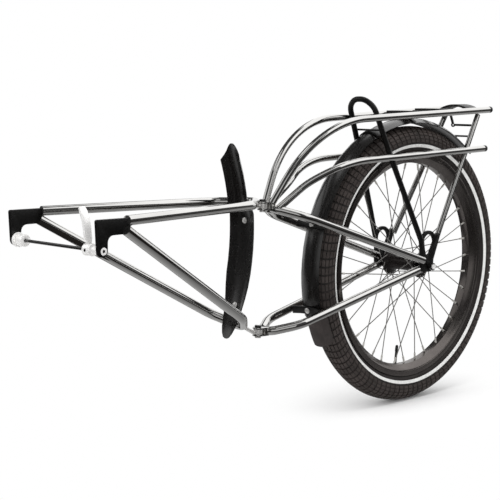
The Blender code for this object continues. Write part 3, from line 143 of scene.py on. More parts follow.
# Steel, turned, blackened and oiled: dark under a clear gloss, its tool marks drawn coarse at 0.9 mm
blackOxideSteel = surface("black oxide turned steel", {
    "tone": "#1b1a1a", "worn": "#242322", "patch": 9.0, "grain": 0.9, "depth": 0.008,
    "rough": (0.14, 0.24), "metal": 0.6,
    "sockets": {"Coat Weight": 1.0, "Coat Roughness": 0.06},
})
# Powder coat, baked on steel: an orange peel 1.4 mm wide, which scatters the light in a soft sheen
blackPowderCoat = surface("black baked powder coat", {
    "tone": "#060505", "worn": "#0b0908", "patch": 45.0, "grain": 1.4, "depth": 0.03,
    "rough": (0.34, 0.46), "metal": 0.0,
})
# Laminated mudguard sheet, pressed: a deep gloss over the long, shallow waves of a pressed sheet
glossBlackSheet = surface("pressed glossy black mudguard sheet", {
    "tone": "#0a0807", "worn": "#0f0c0b", "patch": 80.0, "grain": 22.0, "depth": 0.05,
    "rough": (0.24, 0.30), "metal": 0.0, "strength": 0.05,
    "sockets": {"IOR": 1.7, "Coat Weight": 0.5, "Coat Roughness": 0.20},
})
# Steel, zinc plated in a barrel: pale and softly bright, its fine crystals drawn coarse at 0.8 mm
zincPlatedSteel = surface("bright zinc plated steel", {
    "tone": "#e8e7e5", "worn": "#d2d0cd", "patch": 5.0, "grain": 0.8, "depth": 0.012,
    "rough": (0.24, 0.38), "metal": 0.7,
})
# Aluminium, turned and anodised black: dark, with a silky warm sheen and tool marks drawn coarse at 3 mm
blackAnodised = surface("black anodised rolled aluminium", {
    "tone": "#282322", "worn": "#1f1b1a", "patch": 30.0, "grain": 3.0, "depth": 0.01,
    "rough": (0.30, 0.42), "metal": 0.55,
})
# Box rim, rolled and anodised: the drawn wall shines through the film in a grey gleam, with marks 6 mm long
anodisedRim = surface("dark anodised box rim", {
    "tone": "#716c69", "worn": "#65605e", "patch": 60.0, "grain": 6.0, "depth": 0.004,
    "rough": (0.20, 0.26), "metal": 0.94, "strength": 0.2,
})
# Tyre rubber, moulded: matt and warm black, with a grain 1 mm wide and darker patches where it is worn
tyreRubber = surface("moulded tyre rubber", {
    "tone": "#2d2725", "worn": "#241f1d", "patch": 25.0, "grain": 1.0, "depth": 0.12,
    "rough": (0.58, 0.78), "metal": 0.0,
    "sockets": {"Specular IOR Level": 0.4},
})
# The tread's blocks are coloured greyer and browner than the grooves and the walls
treadRubber = surface("greyer tread block rubber", {
    "tone": "#413936", "worn": "#352e2b", "patch": 22.0, "grain": 1.0, "depth": 0.12,
    "rough": (0.55, 0.75), "metal": 0.0,
    "sockets": {"Specular IOR Level": 0.4},
})
# Reflective film, pressed on the sidewall: pale grey, the cells of its glass beads drawn coarse at 0.9 mm
reflectiveFilm = surface("reflective sidewall film", {
    "tone": "#eeeeec", "worn": "#e0e0de", "patch": 6.0, "grain": 0.9, "depth": 0.03,
    "rough": (0.30, 0.45), "metal": 0.0,
    "sockets": {"Coat Weight": 0.3, "Coat Roughness": 0.2},
})
# Rubber sheet, calendered and cut: matt, with a cloth's weave of 1.2 mm pressed into it
flapRubber = surface("cut rubber sheet", {
    "tone": "#3b3331", "worn": "#302927", "patch": 18.0, "grain": 1.2, "depth": 0.08,
    "rough": (0.55, 0.7), "metal": 0.0,
})
# Polyamide, injection moulded: the mould's spark grain, 0.7 mm wide, gives a dull sheen
mouldedPolyamide = surface("moulded black polyamide", {
    "tone": "#151414", "worn": "#1c1b1b", "patch": 12.0, "grain": 0.7, "depth": 0.03,
    "rough": (0.40, 0.52), "metal": 0.0,
})
# Stainless wire, drawn: a dull grey gleam, its drawing marks drawn coarse at 0.9 mm
stainlessWire = surface("drawn stainless spoke wire", {
    "tone": "#8f8d8a", "worn": "#7f7d7a", "patch": 8.0, "grain": 0.9, "depth": 0.004,
    "rough": (0.28, 0.38), "metal": 0.5,
})
# Brass, turned and nickel plated: small and bright, its tool marks drawn coarse at 0.6 mm
nickelPlatedBrass = surface("nickel plated turned brass", {
    "tone": "#e9e7e2", "worn": "#d8d5cf", "patch": 4.0, "grain": 0.6, "depth": 0.006,
    "rough": (0.22, 0.32), "metal": 0.6,
})
slotMaterials = {
    "chrome_tube": chromePlatedTube,
    "black_powder_coat": blackPowderCoat,
    "zinc_steel": zincPlatedSteel,
    "gloss_black_sheet": glossBlackSheet,
    "black_anodised": blackAnodised,
    "tyre_rubber": tyreRubber,
    "flap_rubber": flapRubber,
    "black_plastic": mouldedPolyamide,
}
print("stage 2: materials made")

nodeSlots = {entry["node"]: entry["material_slot"] for entry in frame["record"]["subparts"]}
nodeBodies = {
    name: body for body, names in frame["record"]["behaviour"]["bodies"].items() for name in names
}
weldDistance = 1e-6
softening = {
    "flatAngle": 0.5, "sharpAngle": 40, "edgeSegments": 2,  # degrees
    "cornerSegments": 4, "shortestCorner": 0.003, "cornerUprightness": 0.99,
}
tubeShape = {"bendStep": 3, "fewestSteps": 4, "roundness": 10}  # degrees along a bend, and round the tube


def finishPiece(name, mesh, material, body, smoothAngle=35):
    bm = bmesh.new()
    bm.from_mesh(mesh)
    bmesh.ops.remove_doubles(bm, verts=bm.verts, dist=weldDistance)
    bmesh.ops.recalc_face_normals(bm, faces=bm.faces)
    bm.to_mesh(mesh)
    bm.free()
    mesh.shade_smooth()
    mesh.set_sharp_from_angle(angle=math.radians(smoothAngle))
    mesh.materials.clear()
    mesh.materials.append(material)
    piece = bpy.data.objects.new(name, mesh)
    bpy.context.scene.collection.objects.link(piece)
    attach(piece, body)
    return piece


def meshOf(name, bm):
    mesh = bpy.data.meshes.new(name)
    bm.to_mesh(mesh)
    bm.free()
    return mesh


def sharpEdges(bm):
    return [e for e in bm.edges if e.is_manifold and e.calc_face_angle() > math.radians(softening["sharpAngle"])]


def roundEdges(bm, edges, width, segments):
    bmesh.ops.bevel(
        bm, geom=edges, offset=width, offset_type="OFFSET", affect="EDGES",
        segments=segments, profile=0.5, material=-1, clamp_overlap=True,
    )


def softened(node, material, edge, corner):
    # A merged copy of a solid, with a plate's corners rounded by corner and its sharp edges by edge
    bm = bmesh.new()
    bm.from_mesh(nodes[node].data)
    bmesh.ops.remove_doubles(bm, verts=bm.verts, dist=weldDistance)
    bmesh.ops.dissolve_limit(bm, angle_limit=math.radians(softening["flatAngle"]), verts=bm.verts, edges=bm.edges)
    if corner:
        upright = [
            e for e in sharpEdges(bm)
            if abs((e.verts[1].co - e.verts[0].co).normalized().y) > softening["cornerUprightness"]
            and e.calc_length() > softening["shortestCorner"]
        ]
        roundEdges(bm, upright, corner, softening["cornerSegments"])
    if edge:
        roundEdges(bm, sharpEdges(bm), edge, softening["edgeSegments"])
    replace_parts(finishPiece(node + "_finish", meshOf(node, bm), material, nodeBodies[node]), node)


def along(start, direction):
    return Matrix.Translation(start) @ direction.to_track_quat("Z", "Y").to_matrix().to_4x4()


def turned(bm, profile, place, steps):
    # Spins (radius, height) points about local Z and puts the result in its place
    before = set(bm.verts)
    verts = [bm.verts.new((radius, 0, height)) for radius, height in profile]
    edges = [bm.edges.new(pair) for pair in zip(verts, verts[1:])]
    bmesh.ops.spin(
        bm, geom=verts + edges, cent=(0, 0, 0), axis=(0, 0, 1), angle=2 * math.pi, steps=steps, use_merge=True
    )
    bmesh.ops.transform(bm, matrix=place, verts=[v for v in bm.verts if v not in before])


def bentLine(corners, radii):
    # Straight runs between corners with an arc of each radius
    points = [Vector(corners[0])]
    for before, corner, after, radius in zip(corners, corners[1:], corners[2:], radii):
        before, corner, after = Vector(before), Vector(corner), Vector(after)
        toBefore = (before - corner).normalized()
        toAfter = (after - corner).normalized()
        turn = math.pi - toBefore.angle(toAfter)
        tangent = radius * math.tan(turn / 2)
        center = corner + (toBefore + toAfter).normalized() * radius / math.cos(turn / 2)
        start = corner + toBefore * tangent - center
        axis = start.cross(corner + toAfter * tangent - center).normalized()
        count = max(tubeShape["fewestSteps"], math.ceil(turn / math.radians(tubeShape["bendStep"])))
        points += [center + Matrix.Rotation(turn * i / count, 3, axis) @ start for i in range(count + 1)]
    return points + [Vector(corners[-1])]


def mirroredCorners(corners):
    # The whole of a line that starts on the left side and passes over the middle
    skip = 1 if abs(corners[-1][1]) < weldDistance else 0
    return corners + [(x, -y, z) for x, y, z in reversed(corners[:len(corners) - skip])]


def sweptTube(name, points, diameter):
    curve = bpy.data.curves.new(name, "CURVE")
    curve.dimensions = "3D"
    curve.bevel_depth = diameter / 2
    curve.bevel_resolution = tubeShape["roundness"]
    curve.use_fill_caps = True
    spline = curve.splines.new("POLY")
    spline.points.add(len(points) - 1)
    for target, point in zip(spline.points, points):
        target.co = (*point, 1)
    guide = bpy.data.objects.new(name + "Guide", curve)
    bpy.context.scene.collection.objects.link(guide)
    mesh = bpy.data.meshes.new_from_object(guide.evaluated_get(bpy.context.evaluated_depsgraph_get()))
    bpy.data.objects.remove(guide, do_unlink=True)
    return mesh


# Bent tubes: their corners, the radius of each bend between the ends, and the diameter
acrossTubes = {  # from the left end to the middle, and mirrored to the right end
    "yoke_upper_tube": {
        "corners": [(-0.0458, 0.101, 0.0398), (-0.35251, 0.0465, 0.03792), (-0.40451, 0.0, 0.0376)],
        "bends": (0.040, 0.015, 0.040), "diameter": 0.015,
    },
    "yoke_lower_tube": {
        "corners": [(-0.0418, 0.1025, 0.0273), (-0.336, 0.0386, -0.14505), (-0.375, 0.0, -0.1679)],
        "bends": (0.040, 0.015, 0.040), "diameter": 0.016,
    },
    "upper_stays": {
        "corners": [(-0.782, 0.054, -0.0902), (-0.48451, 0.0395, 0.00923), (-0.42651, 0.0, 0.02861)],
        "bends": (0.070, 0.018, 0.070), "diameter": 0.015,
    },
    "lower_stays": {
        "corners": [(-0.782, 0.049, -0.1059), (-0.4735, 0.0385, -0.17198), (-0.4155, 0.0, -0.1844)],
        "bends": (0.070, 0.018, 0.070), "diameter": 0.015,
    },
    "hand_hoop": {
        "corners": [
            (-0.7752, 0.054, -0.0514), (-0.7096, 0.0356, 0.0993),
            (-0.6708, 0.0282, 0.1894), (-0.664, 0.012, 0.2029),
        ],
        "bends": (0.120, 0.026, 0.025, 0.025, 0.026, 0.120), "diameter": 0.010,
    },
}
sideTubes = {  # the left one of each pair
    "top_rail": {
        "corners": [(-0.43501, 0.008, 0.03361), (-0.5174, 0.0355, 0.1662), (-0.981, 0.05, 0.18)],
        "bends": (0.217,), "diameter": 0.012,
    },
    "side_rail": {
        "corners": [
            (-0.44401, 0.014, 0.02461), (-0.5044, 0.0199, 0.0619),
            (-0.5711, 0.0473, 0.0971), (-0.962, 0.0535, 0.1071),
        ],
        "bends": (0.120, 0.210), "diameter": 0.012,
    },
    "rear_strut": {
        "corners": [(-0.8265, 0.0508, -0.0514), (-0.9645, 0.0376, 0.1704)],
        "bends": (), "diameter": 0.010,
    },
}
tubeLines = {node: (mirroredCorners(tube["corners"]), tube) for node, tube in acrossTubes.items()}
for sideName, sign in (("left", 1), ("right", -1)):
    for kind, tube in sideTubes.items():
        tubeLines[f"{sideName}_{kind}"] = ([(x, sign * y, z) for x, y, z in tube["corners"]], tube)
for node, (corners, tube) in tubeLines.items():
    mesh = sweptTube(node, bentLine(corners, tube["bends"]), tube["diameter"])
    slot = nodeSlots[node]
    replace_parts(finishPiece(node + "_finish", mesh, slotMaterials[slot], nodeBodies[node]), node)
print("stage 3: tubes bent")

# The wheel turns about Y: its sections are drawn as (radius, y) and spun
wheelCenter = Vector((-0.799, 0.0, -0.1024))
wheelPlace = Matrix.Translation(wheelCenter) @ Matrix.Rotation(math.radians(-90), 4, "X")
# Angles are degrees round the tyre's section, where 0 is the crown and 90 the widest part of the left wall
tyre = {
    "radius": 0.2549, "sectionHeight": 0.02595, "halfWidth": 0.0245, "wall": 0.003, "wallSink": 0.0006,
    "treadEnd": 98.0, "treadFull": 45.0, "treadDepth": 0.0021, "shoulderDepth": 0.0008,
    "rings": (102, 122, 126), "ringHeight": 0.0004,
    "outerEnd": 140, "outerStep": 4, "innerEnd": 132, "innerStep": 12,
    "beadRadius": 0.2030, "beadY": 0.0150, "beadWidth": 0.003, "steps": 216,
}
tyreMiddle = tyre["radius"] - tyre["sectionHeight"]


def tyrePoint(angle, sink):
    turn = math.radians(angle)
    return (
        tyreMiddle + (tyre["sectionHeight"] - sink) * math.cos(turn),
        (tyre["halfWidth"] - sink) * math.sin(turn),
    )


def casingSink(angle):
    # How far the casing lies under the outline: a tread's depth, less toward the shoulders, with rings on its walls
    across = abs(angle)
    if across < tyre["treadEnd"]:
        shoulder = max(0.0, (across - tyre["treadFull"]) / (tyre["treadEnd"] - tyre["treadFull"]))
        return tyre["treadDepth"] + (tyre["shoulderDepth"] - tyre["treadDepth"]) * shoulder
    return tyre["wallSink"] - (tyre["ringHeight"] if across in tyre["rings"] else 0.0)


ringAngles = {sign * (ring + step) for sign in (-1, 1) for ring in tyre["rings"] for step in (-1, 0, 1)}
outerAngles = ringAngles | set(range(-tyre["outerEnd"], tyre["outerEnd"] + 1, tyre["outerStep"]))
outside = [tyrePoint(angle, casingSink(angle)) for angle in sorted(outerAngles)]
innerAngles = range(tyre["innerEnd"], -tyre["innerEnd"] - 1, -tyre["innerStep"])
inside = [tyrePoint(angle, tyre["wall"] + tyre["wallSink"]) for angle in innerAngles]
rightBead = [(tyre["beadRadius"], -tyre["beadY"] + tyre["beadWidth"]), (tyre["beadRadius"], -tyre["beadY"])]
leftBead = [(radius, -y) for radius, y in reversed(rightBead)]
section = rightBead + outside + leftBead + inside
casing = bmesh.new()
turned(casing, section + section[:1], wheelPlace, tyre["steps"])
casingPiece = finishPiece("tyreCasing", meshOf("tyreCasing", casing), tyreRubber, "wheel", 30)
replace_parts(casingPiece, "tyre")

tread = {
    "columns": 107, "rows": 13, "end": 98.0, "groove": 2.4,  # degrees round the section
    "gap": 0.0030, "sway": 0.0042, "sink": 0.0012, "inset": 0.0004, "topShare": 0.94,
}
rowSpan = 2 * tread["end"] / tread["rows"]
turnStep = 2 * math.pi / tread["columns"]
blockHalf = (turnStep * tyre["radius"] - tread["gap"]) / 2
rowHalf = (rowSpan - tread["groove"]) / 2


def treadPoint(angle, place, sink):
    # The rows lean forward between the crown and the shoulder, so that the gaps across the tread curve
    radius, y = tyrePoint(angle, sink)
    turn = (place + tread["sway"] * math.sin(math.pi * abs(angle) / tread["end"])) / tyre["radius"]
    return radius * math.cos(turn), radius * math.sin(turn), y


blocks = bmesh.new()
for row in range(tread["rows"]):
    # A grid of two faces is the foot of a block, and its extruded copy is the top
    middle = (row + 0.5) * rowSpan - tread["end"]
    feet = bmesh.ops.create_grid(blocks, x_segments=2, y_segments=1, size=1)["verts"]
    footFaces = list({face for vert in feet for face in vert.link_faces})
    grown = bmesh.ops.extrude_face_region(blocks, geom=footFaces)["geom"]
    bmesh.ops.delete(blocks, geom=[face for face in footFaces if face.is_valid], context="FACES_ONLY")
    for vert in feet:
        across, end, _ = vert.co
        vert.co = treadPoint(middle + across * rowHalf, end * blockHalf, tyre["treadDepth"] + tread["sink"])
    for vert in grown:
        if isinstance(vert, bmesh.types.BMVert):
            across, end, _ = vert.co
            topAngle = middle + across * rowHalf * tread["topShare"]
            vert.co = treadPoint(topAngle, end * (blockHalf - tread["inset"]), 0.0)
bmesh.ops.spin(
    blocks, geom=blocks.verts[:] + blocks.edges[:] + blocks.faces[:], cent=(0, 0, 0), axis=(0, 0, 1),
    angle=turnStep * (tread["columns"] - 1), steps=tread["columns"] - 1, use_duplicate=True,
)
bmesh.ops.transform(blocks, matrix=wheelPlace, verts=blocks.verts)
finishPiece("treadBlocks", meshOf("treadBlocks", blocks), treadRubber, "wheel", 20)

stripe = {"from": 105, "to": 119, "step": 2, "sink": 0.0005, "backSink": 0.0010}
film = bmesh.new()
for sign in (1, -1):
    stripeAngles = [sign * angle for angle in range(stripe["from"], stripe["to"] + 1, stripe["step"])]
    face = [tyrePoint(angle, stripe["sink"]) for angle in stripeAngles]
    back = [tyrePoint(angle, stripe["backSink"]) for angle in stripeAngles]
    turned(film, face + back[::-1] + face[:1], wheelPlace, tyre["steps"])
finishPiece("reflectiveStripes", meshOf("reflectiveStripes", film), reflectiveFilm, "wheel", 40)


def halfSection(half, parts):
    # Points of a section's left half: parts pair a radius with offsets, outward from it and sideways from half
    return [(radius + out, half + over) for radius, offsets in parts for out, over in offsets]


rim = {
    "half": 0.018, "bed": 0.1874, "shelf": 0.2023, "edge": 0.209, "steps": 216,
    "bedOffsets": [(0.0, -0.0150), (0.0006, -0.0108), (0.0044, -0.0076)],
    "wallOffsets": [(-0.0050, -0.0019), (-0.0034, -0.0012), (-0.0028, -0.0016), (-0.0022, -0.0008)],
    "edgeOffsets": [(-0.0010, 0.0), (-0.0002, -0.0003), (0.0, -0.0011), (-0.0002, -0.0019), (-0.0012, -0.0022)],
    "shelfOffsets": [(0.0, -0.0027), (0.0, -0.0085), (-0.0030, -0.0115)],
}
rimLeft = halfSection(rim["half"], [
    (rim["bed"], rim["bedOffsets"]), (rim["shelf"], rim["wallOffsets"]),
    (rim["edge"], rim["edgeOffsets"]), (rim["shelf"], rim["shelfOffsets"]),
])
rimLoop = [(radius, -y) for radius, y in reversed(rimLeft)] + rimLeft
rimMesh = bmesh.new()
turned(rimMesh, rimLoop + rimLoop[:1], wheelPlace, rim["steps"])
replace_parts(finishPiece("boxRim", meshOf("boxRim", rimMesh), anodisedRim, "wheel", 28), "rim")

hub = {
    "flangePlace": 0.035, "flangeRadius": 0.023, "flangeHalf": 0.0016, "waist": 0.0125, "shell": 0.015,
    "step": 0.01275, "collar": 0.012, "seal": 0.0085, "endRadius": 0.0080, "bore": 0.00505,
    "end": 0.0512, "steps": 72,
    "flangeOffsets": [(-0.0004, -0.0016), (0.0, -0.0012), (0.0, 0.0012), (-0.0004, 0.0016)],
}
hubLeft = [(hub["waist"], 0.0)] + halfSection(hub["flangePlace"], [
    (hub["waist"], [(0.0, -0.017)]), (hub["shell"], [(0.0, -0.0076)]), (hub["flangeRadius"], hub["flangeOffsets"]),
    (hub["step"], [(0.0, 0.0031)]), (hub["collar"], [(0.0, 0.0085)]), (hub["seal"], [(0.0, 0.0090), (0.0, 0.0105)]),
    (hub["endRadius"], [(0.0, 0.0110)]),
]) + [(hub["endRadius"], hub["end"]), (hub["bore"], hub["end"])]
hubLoop = [(radius, -y) for radius, y in reversed(hubLeft)] + hubLeft[1:]
hubMesh = bmesh.new()
turned(hubMesh, hubLoop + hubLoop[:1], wheelPlace, hub["steps"])
hubPiece = finishPiece("hubShell", meshOf("hubShell", hubMesh), blackAnodised, "wheel", 28)
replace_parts(hubPiece, "hub_and_spokes")

spokes = {
    "count": 36, "crossings": 3, "diameter": 0.0018, "rimReach": 0.1862, "holeInset": 0.0035, "sides": 10,
    "hubLean": 0.4, "rimPlace": 0.0012, "rimLean": 0.0013, "startsBefore": 0.0012, "endsBefore": 0.009,
    "headRadius": 0.00171, "headBack": 0.0030, "headFront": 0.0022, "neck": 0.0016, "elbowEnd": 0.0026,
}
nipple = {
    "length": 0.011, "radius": 0.0018,
    "tipRadius": 0.001476, "tipTaper": 0.001, "footRadius": 0.00225, "footTaper": 0.002,
}
wires = bmesh.new()
nipples = bmesh.new()
perSide = spokes["count"] // 2
pitch = 2 * math.pi / perSide
wireRadius = spokes["diameter"] / 2
holeRadius = hub["flangeRadius"] - spokes["holeInset"]
headProfile = [
    (0, -spokes["headBack"]), (spokes["headRadius"], -spokes["headBack"]),
    (spokes["headRadius"], -spokes["headFront"]),
    (wireRadius, -spokes["neck"]), (wireRadius, spokes["elbowEnd"]), (0, spokes["elbowEnd"]),
]
for sign in (1, -1):
    for i in range(perSide):
        # Every other spoke leads, on the flange's outer face, and the rest trail on its inner face
        leading = 1 if i % 2 else -1
        atHub = i * pitch + (0 if sign > 0 else pitch / 2)
        atRim = atHub + leading * spokes["crossings"] * pitch
        yHub = sign * (hub["flangePlace"] + leading * (hub["flangeHalf"] + spokes["diameter"] * spokes["hubLean"]))
        yRim = sign * (spokes["rimPlace"] + leading * spokes["rimLean"])
        reach = spokes["rimReach"]
        start = wheelCenter + Vector((holeRadius * math.cos(atHub), yHub, holeRadius * math.sin(atHub)))
        stop = wheelCenter + Vector((reach * math.cos(atRim), yRim, reach * math.sin(atRim)))
        run = stop - start
        first, last = -spokes["startsBefore"], run.length - spokes["endsBefore"]
        turned(
            wires, [(0, first), (wireRadius, first), (wireRadius, last), (0, last)],
            along(start, run), spokes["sides"],
        )
        elbow = Vector((start.x, sign * hub["flangePlace"], start.z))
        turned(wires, headProfile, along(elbow, Vector((0, sign * leading, 0))), spokes["sides"])
        rimEnd = run.length
        wireEnd = rimEnd - nipple["length"]
        turned(
            nipples,
            [
                (wireRadius, wireEnd), (nipple["tipRadius"], wireEnd),
                (nipple["radius"], wireEnd + nipple["tipTaper"]), (nipple["radius"], rimEnd - nipple["footTaper"]),
                (nipple["footRadius"], rimEnd), (0, rimEnd),
            ],
            along(start, run), spokes["sides"],
        )
finishPiece("spokeWires", meshOf("spokeWires", wires), stainlessWire, "wheel", 40)
finishPiece("spokeNipples", meshOf("spokeNipples", nipples), nickelPlatedBrass, "wheel", 40)

valve = {
    "angle": -82.0, "foot": 0.1870, "length": 0.034, "sides": 16,
    "thread": 0.0026, "threadDepth": 0.0003, "ribs": 24,
    "threadFrom": 0.03, "threadLength": 0.6, "capFrom": 0.66, "capTo": 0.92,  # shares of the length
    "cap": 0.0029, "tip": 0.0018,
}
valveTurn = math.radians(valve["angle"])
valveSide = Vector((math.cos(valveTurn), 0, math.sin(valveTurn)))
ribs = [
    (
        valve["thread"] - (valve["threadDepth"] if k % 2 else 0.0),
        valve["length"] * (valve["threadFrom"] + valve["threadLength"] * k / (valve["ribs"] - 1)),
    )
    for k in range(valve["ribs"])
]
stemProfile = [(0, 0), (valve["thread"], 0)] + ribs + [
    (valve["cap"], valve["length"] * valve["capFrom"]), (valve["cap"], valve["length"] * valve["capTo"]),
    (valve["tip"], valve["length"]), (0, valve["length"]),
]
stem = bmesh.new()
turned(stem, stemProfile, along(wheelCenter + valveSide * valve["foot"], -valveSide), valve["sides"])
stemPiece = finishPiece("valveStem", meshOf("valveStem", stem), blackOxideSteel, "wheel")
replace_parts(stemPiece, "valve")
print("stage 4: wheel built")

# The other pieces keep the solid's shape, with their edges rounded by these widths
widthGroups = {
    0.0008: ["qr_lever"],
    0.0006: ["left_dropout_plate", "right_dropout_plate", "front_slat", "middle_slat"],
    0.0005: ["left_arch_dropout", "right_arch_dropout", "rear_hump_plate", "skewer_head"],
    0.0004: [
        "upper_fender_tab", "lower_fender_tab", "upper_mudguard_bridge", "lower_mudguard_bridge",
        "left_top_rail_cap", "right_top_rail_cap", "left_side_rail_cap", "right_side_rail_cap",
        "adjusting_nut", "left_spigot",
    ],
    0.0003: ["upper_clevis", "lower_clevis", "upper_hinge_nut", "lower_hinge_nut"],
    0.0002: ["front_guard_band", "top_guard_band"],
}
edgeWidths = {node: width for width, group in widthGroups.items() for node in group}
cornerWidths = {"left_dropout_plate": 0.003, "right_dropout_plate": 0.003}
# Pieces whose finish differs from the one of their slot
finishGroups = [
    (polishedAluminium, ["qr_lever", "skewer_head", "adjusting_nut", "left_spigot", "axle"]),
    (blackOxideSteel, [
        "left_axle_nut", "right_axle_nut", "skewer_rod", "lever_pin", "upper_hinge_nut", "lower_hinge_nut",
    ]),
    (chromePlatedTube, ["upper_clevis", "lower_clevis"]),
]
otherMaterials = {node: material for material, group in finishGroups for node in group}
madeAnew = set(tubeLines) | {"tyre", "rim", "hub_and_spokes", "valve"}
for node in sorted(set(nodes) - madeAnew):
    material = otherMaterials.get(node, slotMaterials[nodeSlots[node]])
    softened(node, material, edgeWidths.get(node, 0.0), cornerWidths.get(node, 0.0))
# Painted shade: a thin dark disc in the middle of the spigot stands for the shadow in its centre hole
socket = {"radius": 0.0017, "proud": 0.00005, "depth": 0.0008, "sides": 20}
holeShadeMesh = bmesh.new()
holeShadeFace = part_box("left_spigot")[1].y + socket["proud"]
turned(
    holeShadeMesh, [(0, -socket["depth"]), (socket["radius"], -socket["depth"]), (socket["radius"], 0), (0, 0)],
    along(Vector((0, holeShadeFace, 0)), Vector((0, 1, 0))), socket["sides"],
)
# The dark disc is painted shade for the spigot's centre hole
finishPiece(
    "spigotHoleShade", meshOf("spigotHoleShade", holeShadeMesh), blackOxideSteel,
    nodeBodies["left_spigot"],
)
print("stage 5: fittings finished")

studio = {
    "floorSize": 40.0, "floorTone": "#fafafa", "floorRoughness": 0.9, "fadeStart": 0.02, "fadeEnd": 0.30,
    "floorDrop": 0.0004, "feltDrop": 0.0002, "sheetDrop": 0.0001, "feltTone": "#211f1e", "feltRadius": 12.0,
    "center": (-0.5, 0.0), "softboxReach": 2.6, "clothReach": 3.2, "shellColumns": 12, "shellRows": 6,
    "feltSides": 64, "skyLight": 0.85, "lampPower": 30.0,
}
pureWhite = (1, 1, 1, 1)
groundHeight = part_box("tyre")[0].z


def stageObject(name, bm, material):
    stageMesh = meshOf(name, bm)
    stageMesh.materials.append(material)
    piece = bpy.data.objects.new(name, stageMesh)
    bpy.context.scene.collection.objects.link(piece)
    return piece


def stageMaterial(name):
    material = bpy.data.materials.new(name)
    material.use_nodes = True
    return material


def coverWith(material, socket):
    material.node_tree.links.new(socket, material.node_tree.nodes["Material Output"].inputs["Surface"])


def seesBackground(material):
    # 1 for the rays that show the white background: the camera's own, and those off metal and through glass
    rays = addNode(material, "ShaderNodeLightPath").outputs
    shown = rays["Is Camera Ray"]
    for kind in ("Is Glossy Ray", "Is Transmission Ray"):
        shown = addNode(material, "ShaderNodeMath", {"operation": "MAXIMUM"}, {0: shown, 1: rays[kind]}).outputs[0]
    return shown


# White paper floor: it keeps the shadow round the wheel and turns into the white background further out
floorMesh = bmesh.new()
bmesh.ops.create_grid(floorMesh, x_segments=1, y_segments=1, size=studio["floorSize"] / 2)
bmesh.ops.translate(floorMesh, vec=(0, 0, groundHeight - studio["floorDrop"]), verts=floorMesh.verts)
paper = stageMaterial("white paper sweep")
paperShader = paper.node_tree.nodes["Principled BSDF"]
paperShader.inputs["Base Color"].default_value = hexColour(studio["floorTone"])
paperShader.inputs["Roughness"].default_value = studio["floorRoughness"]
paperShader.inputs["Specular IOR Level"].default_value = 0.0
shifted = addNode(
    paper, "ShaderNodeVectorMath",
    {"operation": "SUBTRACT", 1: (wheelCenter.x, wheelCenter.y, groundHeight)},
    {0: addNode(paper, "ShaderNodeTexCoord").outputs["Object"]},
)
distance = addNode(paper, "ShaderNodeVectorMath", {"operation": "LENGTH"}, {0: shifted.outputs["Vector"]})
fade = addNode(
    paper, "ShaderNodeMapRange",
    {"interpolation_type": "SMOOTHSTEP", "From Min": studio["fadeStart"], "From Max": studio["fadeEnd"]},
    {"Value": distance.outputs["Value"]},
)
seenFar = addNode(
    paper, "ShaderNodeMath", {"operation": "MULTIPLY"}, {0: seesBackground(paper), 1: fade.outputs["Result"]}
)
white = addNode(paper, "ShaderNodeEmission", {"Color": pureWhite, "Strength": 1.0})
paperMix = addNode(
    paper, "ShaderNodeMixShader", None,
    {0: seenFar.outputs[0], 1: paperShader.outputs["BSDF"], 2: white.outputs["Emission"]},
)
coverWith(paper, paperMix.outputs["Shader"])
stageObject("floor", floorMesh, paper)


def onlyReflected(piece):
    for reach in ("camera", "diffuse", "transmission", "shadow", "volume_scatter"):
        setattr(piece, "visible_" + reach, False)


# Dark felt on the floor, seen only in reflections, as are the panels, the cloths and the sheets
felt = stageMaterial("black felt")
felt.node_tree.nodes["Principled BSDF"].inputs["Base Color"].default_value = hexColour(studio["feltTone"])
felt.node_tree.nodes["Principled BSDF"].inputs["Specular IOR Level"].default_value = 0.0
feltMesh = bmesh.new()
bmesh.ops.create_circle(feltMesh, cap_ends=True, segments=studio["feltSides"], radius=studio["feltRadius"])
bmesh.ops.translate(feltMesh, vec=(*studio["center"], groundHeight - studio["feltDrop"]), verts=feltMesh.verts)
onlyReflected(stageObject("blackFelt", feltMesh, felt))


def shell(azimuths, elevations, reach):
    # A stretch of a sphere about the stage's middle, from an upright arc that is spun (degrees)
    bm = bmesh.new()
    first, last = (math.radians(angle) for angle in azimuths)
    low, high = (math.radians(angle) for angle in elevations)
    middle = Vector((*studio["center"], 0))
    arc = []
    for i in range(studio["shellRows"] + 1):
        up = low + (high - low) * i / studio["shellRows"]
        level = reach * math.cos(up)
        arc.append(bm.verts.new(
            middle + Vector((level * math.cos(first), level * math.sin(first), reach * math.sin(up)))
        ))
    edges = [bm.edges.new(pair) for pair in zip(arc, arc[1:])]
    bmesh.ops.spin(
        bm, geom=arc + edges, cent=middle, axis=(0, 0, 1), angle=last - first, steps=studio["shellColumns"]
    )
    bmesh.ops.remove_doubles(bm, verts=bm.verts, dist=weldDistance)
    return bm


# Softboxes stand in and before dark cloths, and metal shows the white background in the cloths' openings
softboxes = {
    "rightSoftbox": {"azimuth": (108, 226), "elevation": (19, 66), "glow": 1.25},
    "topSoftbox": {"azimuth": (50, 108), "elevation": (40, 66), "glow": 0.6},
    "farSoftbox": {"azimuth": (272, 335), "elevation": (14, 50), "glow": 0.7},
    "frontSoftbox": {"azimuth": (20, 80), "elevation": (-7, 25), "glow": 0.55},
    "lowSoftbox": {"azimuth": (250, 282), "elevation": (-7, 12), "glow": 0.7},
}
cloths = {
    "topCloth": {"azimuth": (0, 360), "elevation": (80, 90), "glow": 0.06},
    "crownCloth": {"azimuth": (30, 290), "elevation": (66, 80), "glow": 0.06},
    "sideCloth": {"azimuth": (226, 468), "elevation": (18, 66), "glow": 0.06},
    "lowCloth": {"azimuth": (250, 516), "elevation": (-12, 18), "glow": 0.06},
    "footCloth": {"azimuth": (156, 250), "elevation": (-12, 0), "glow": 0.06},
}
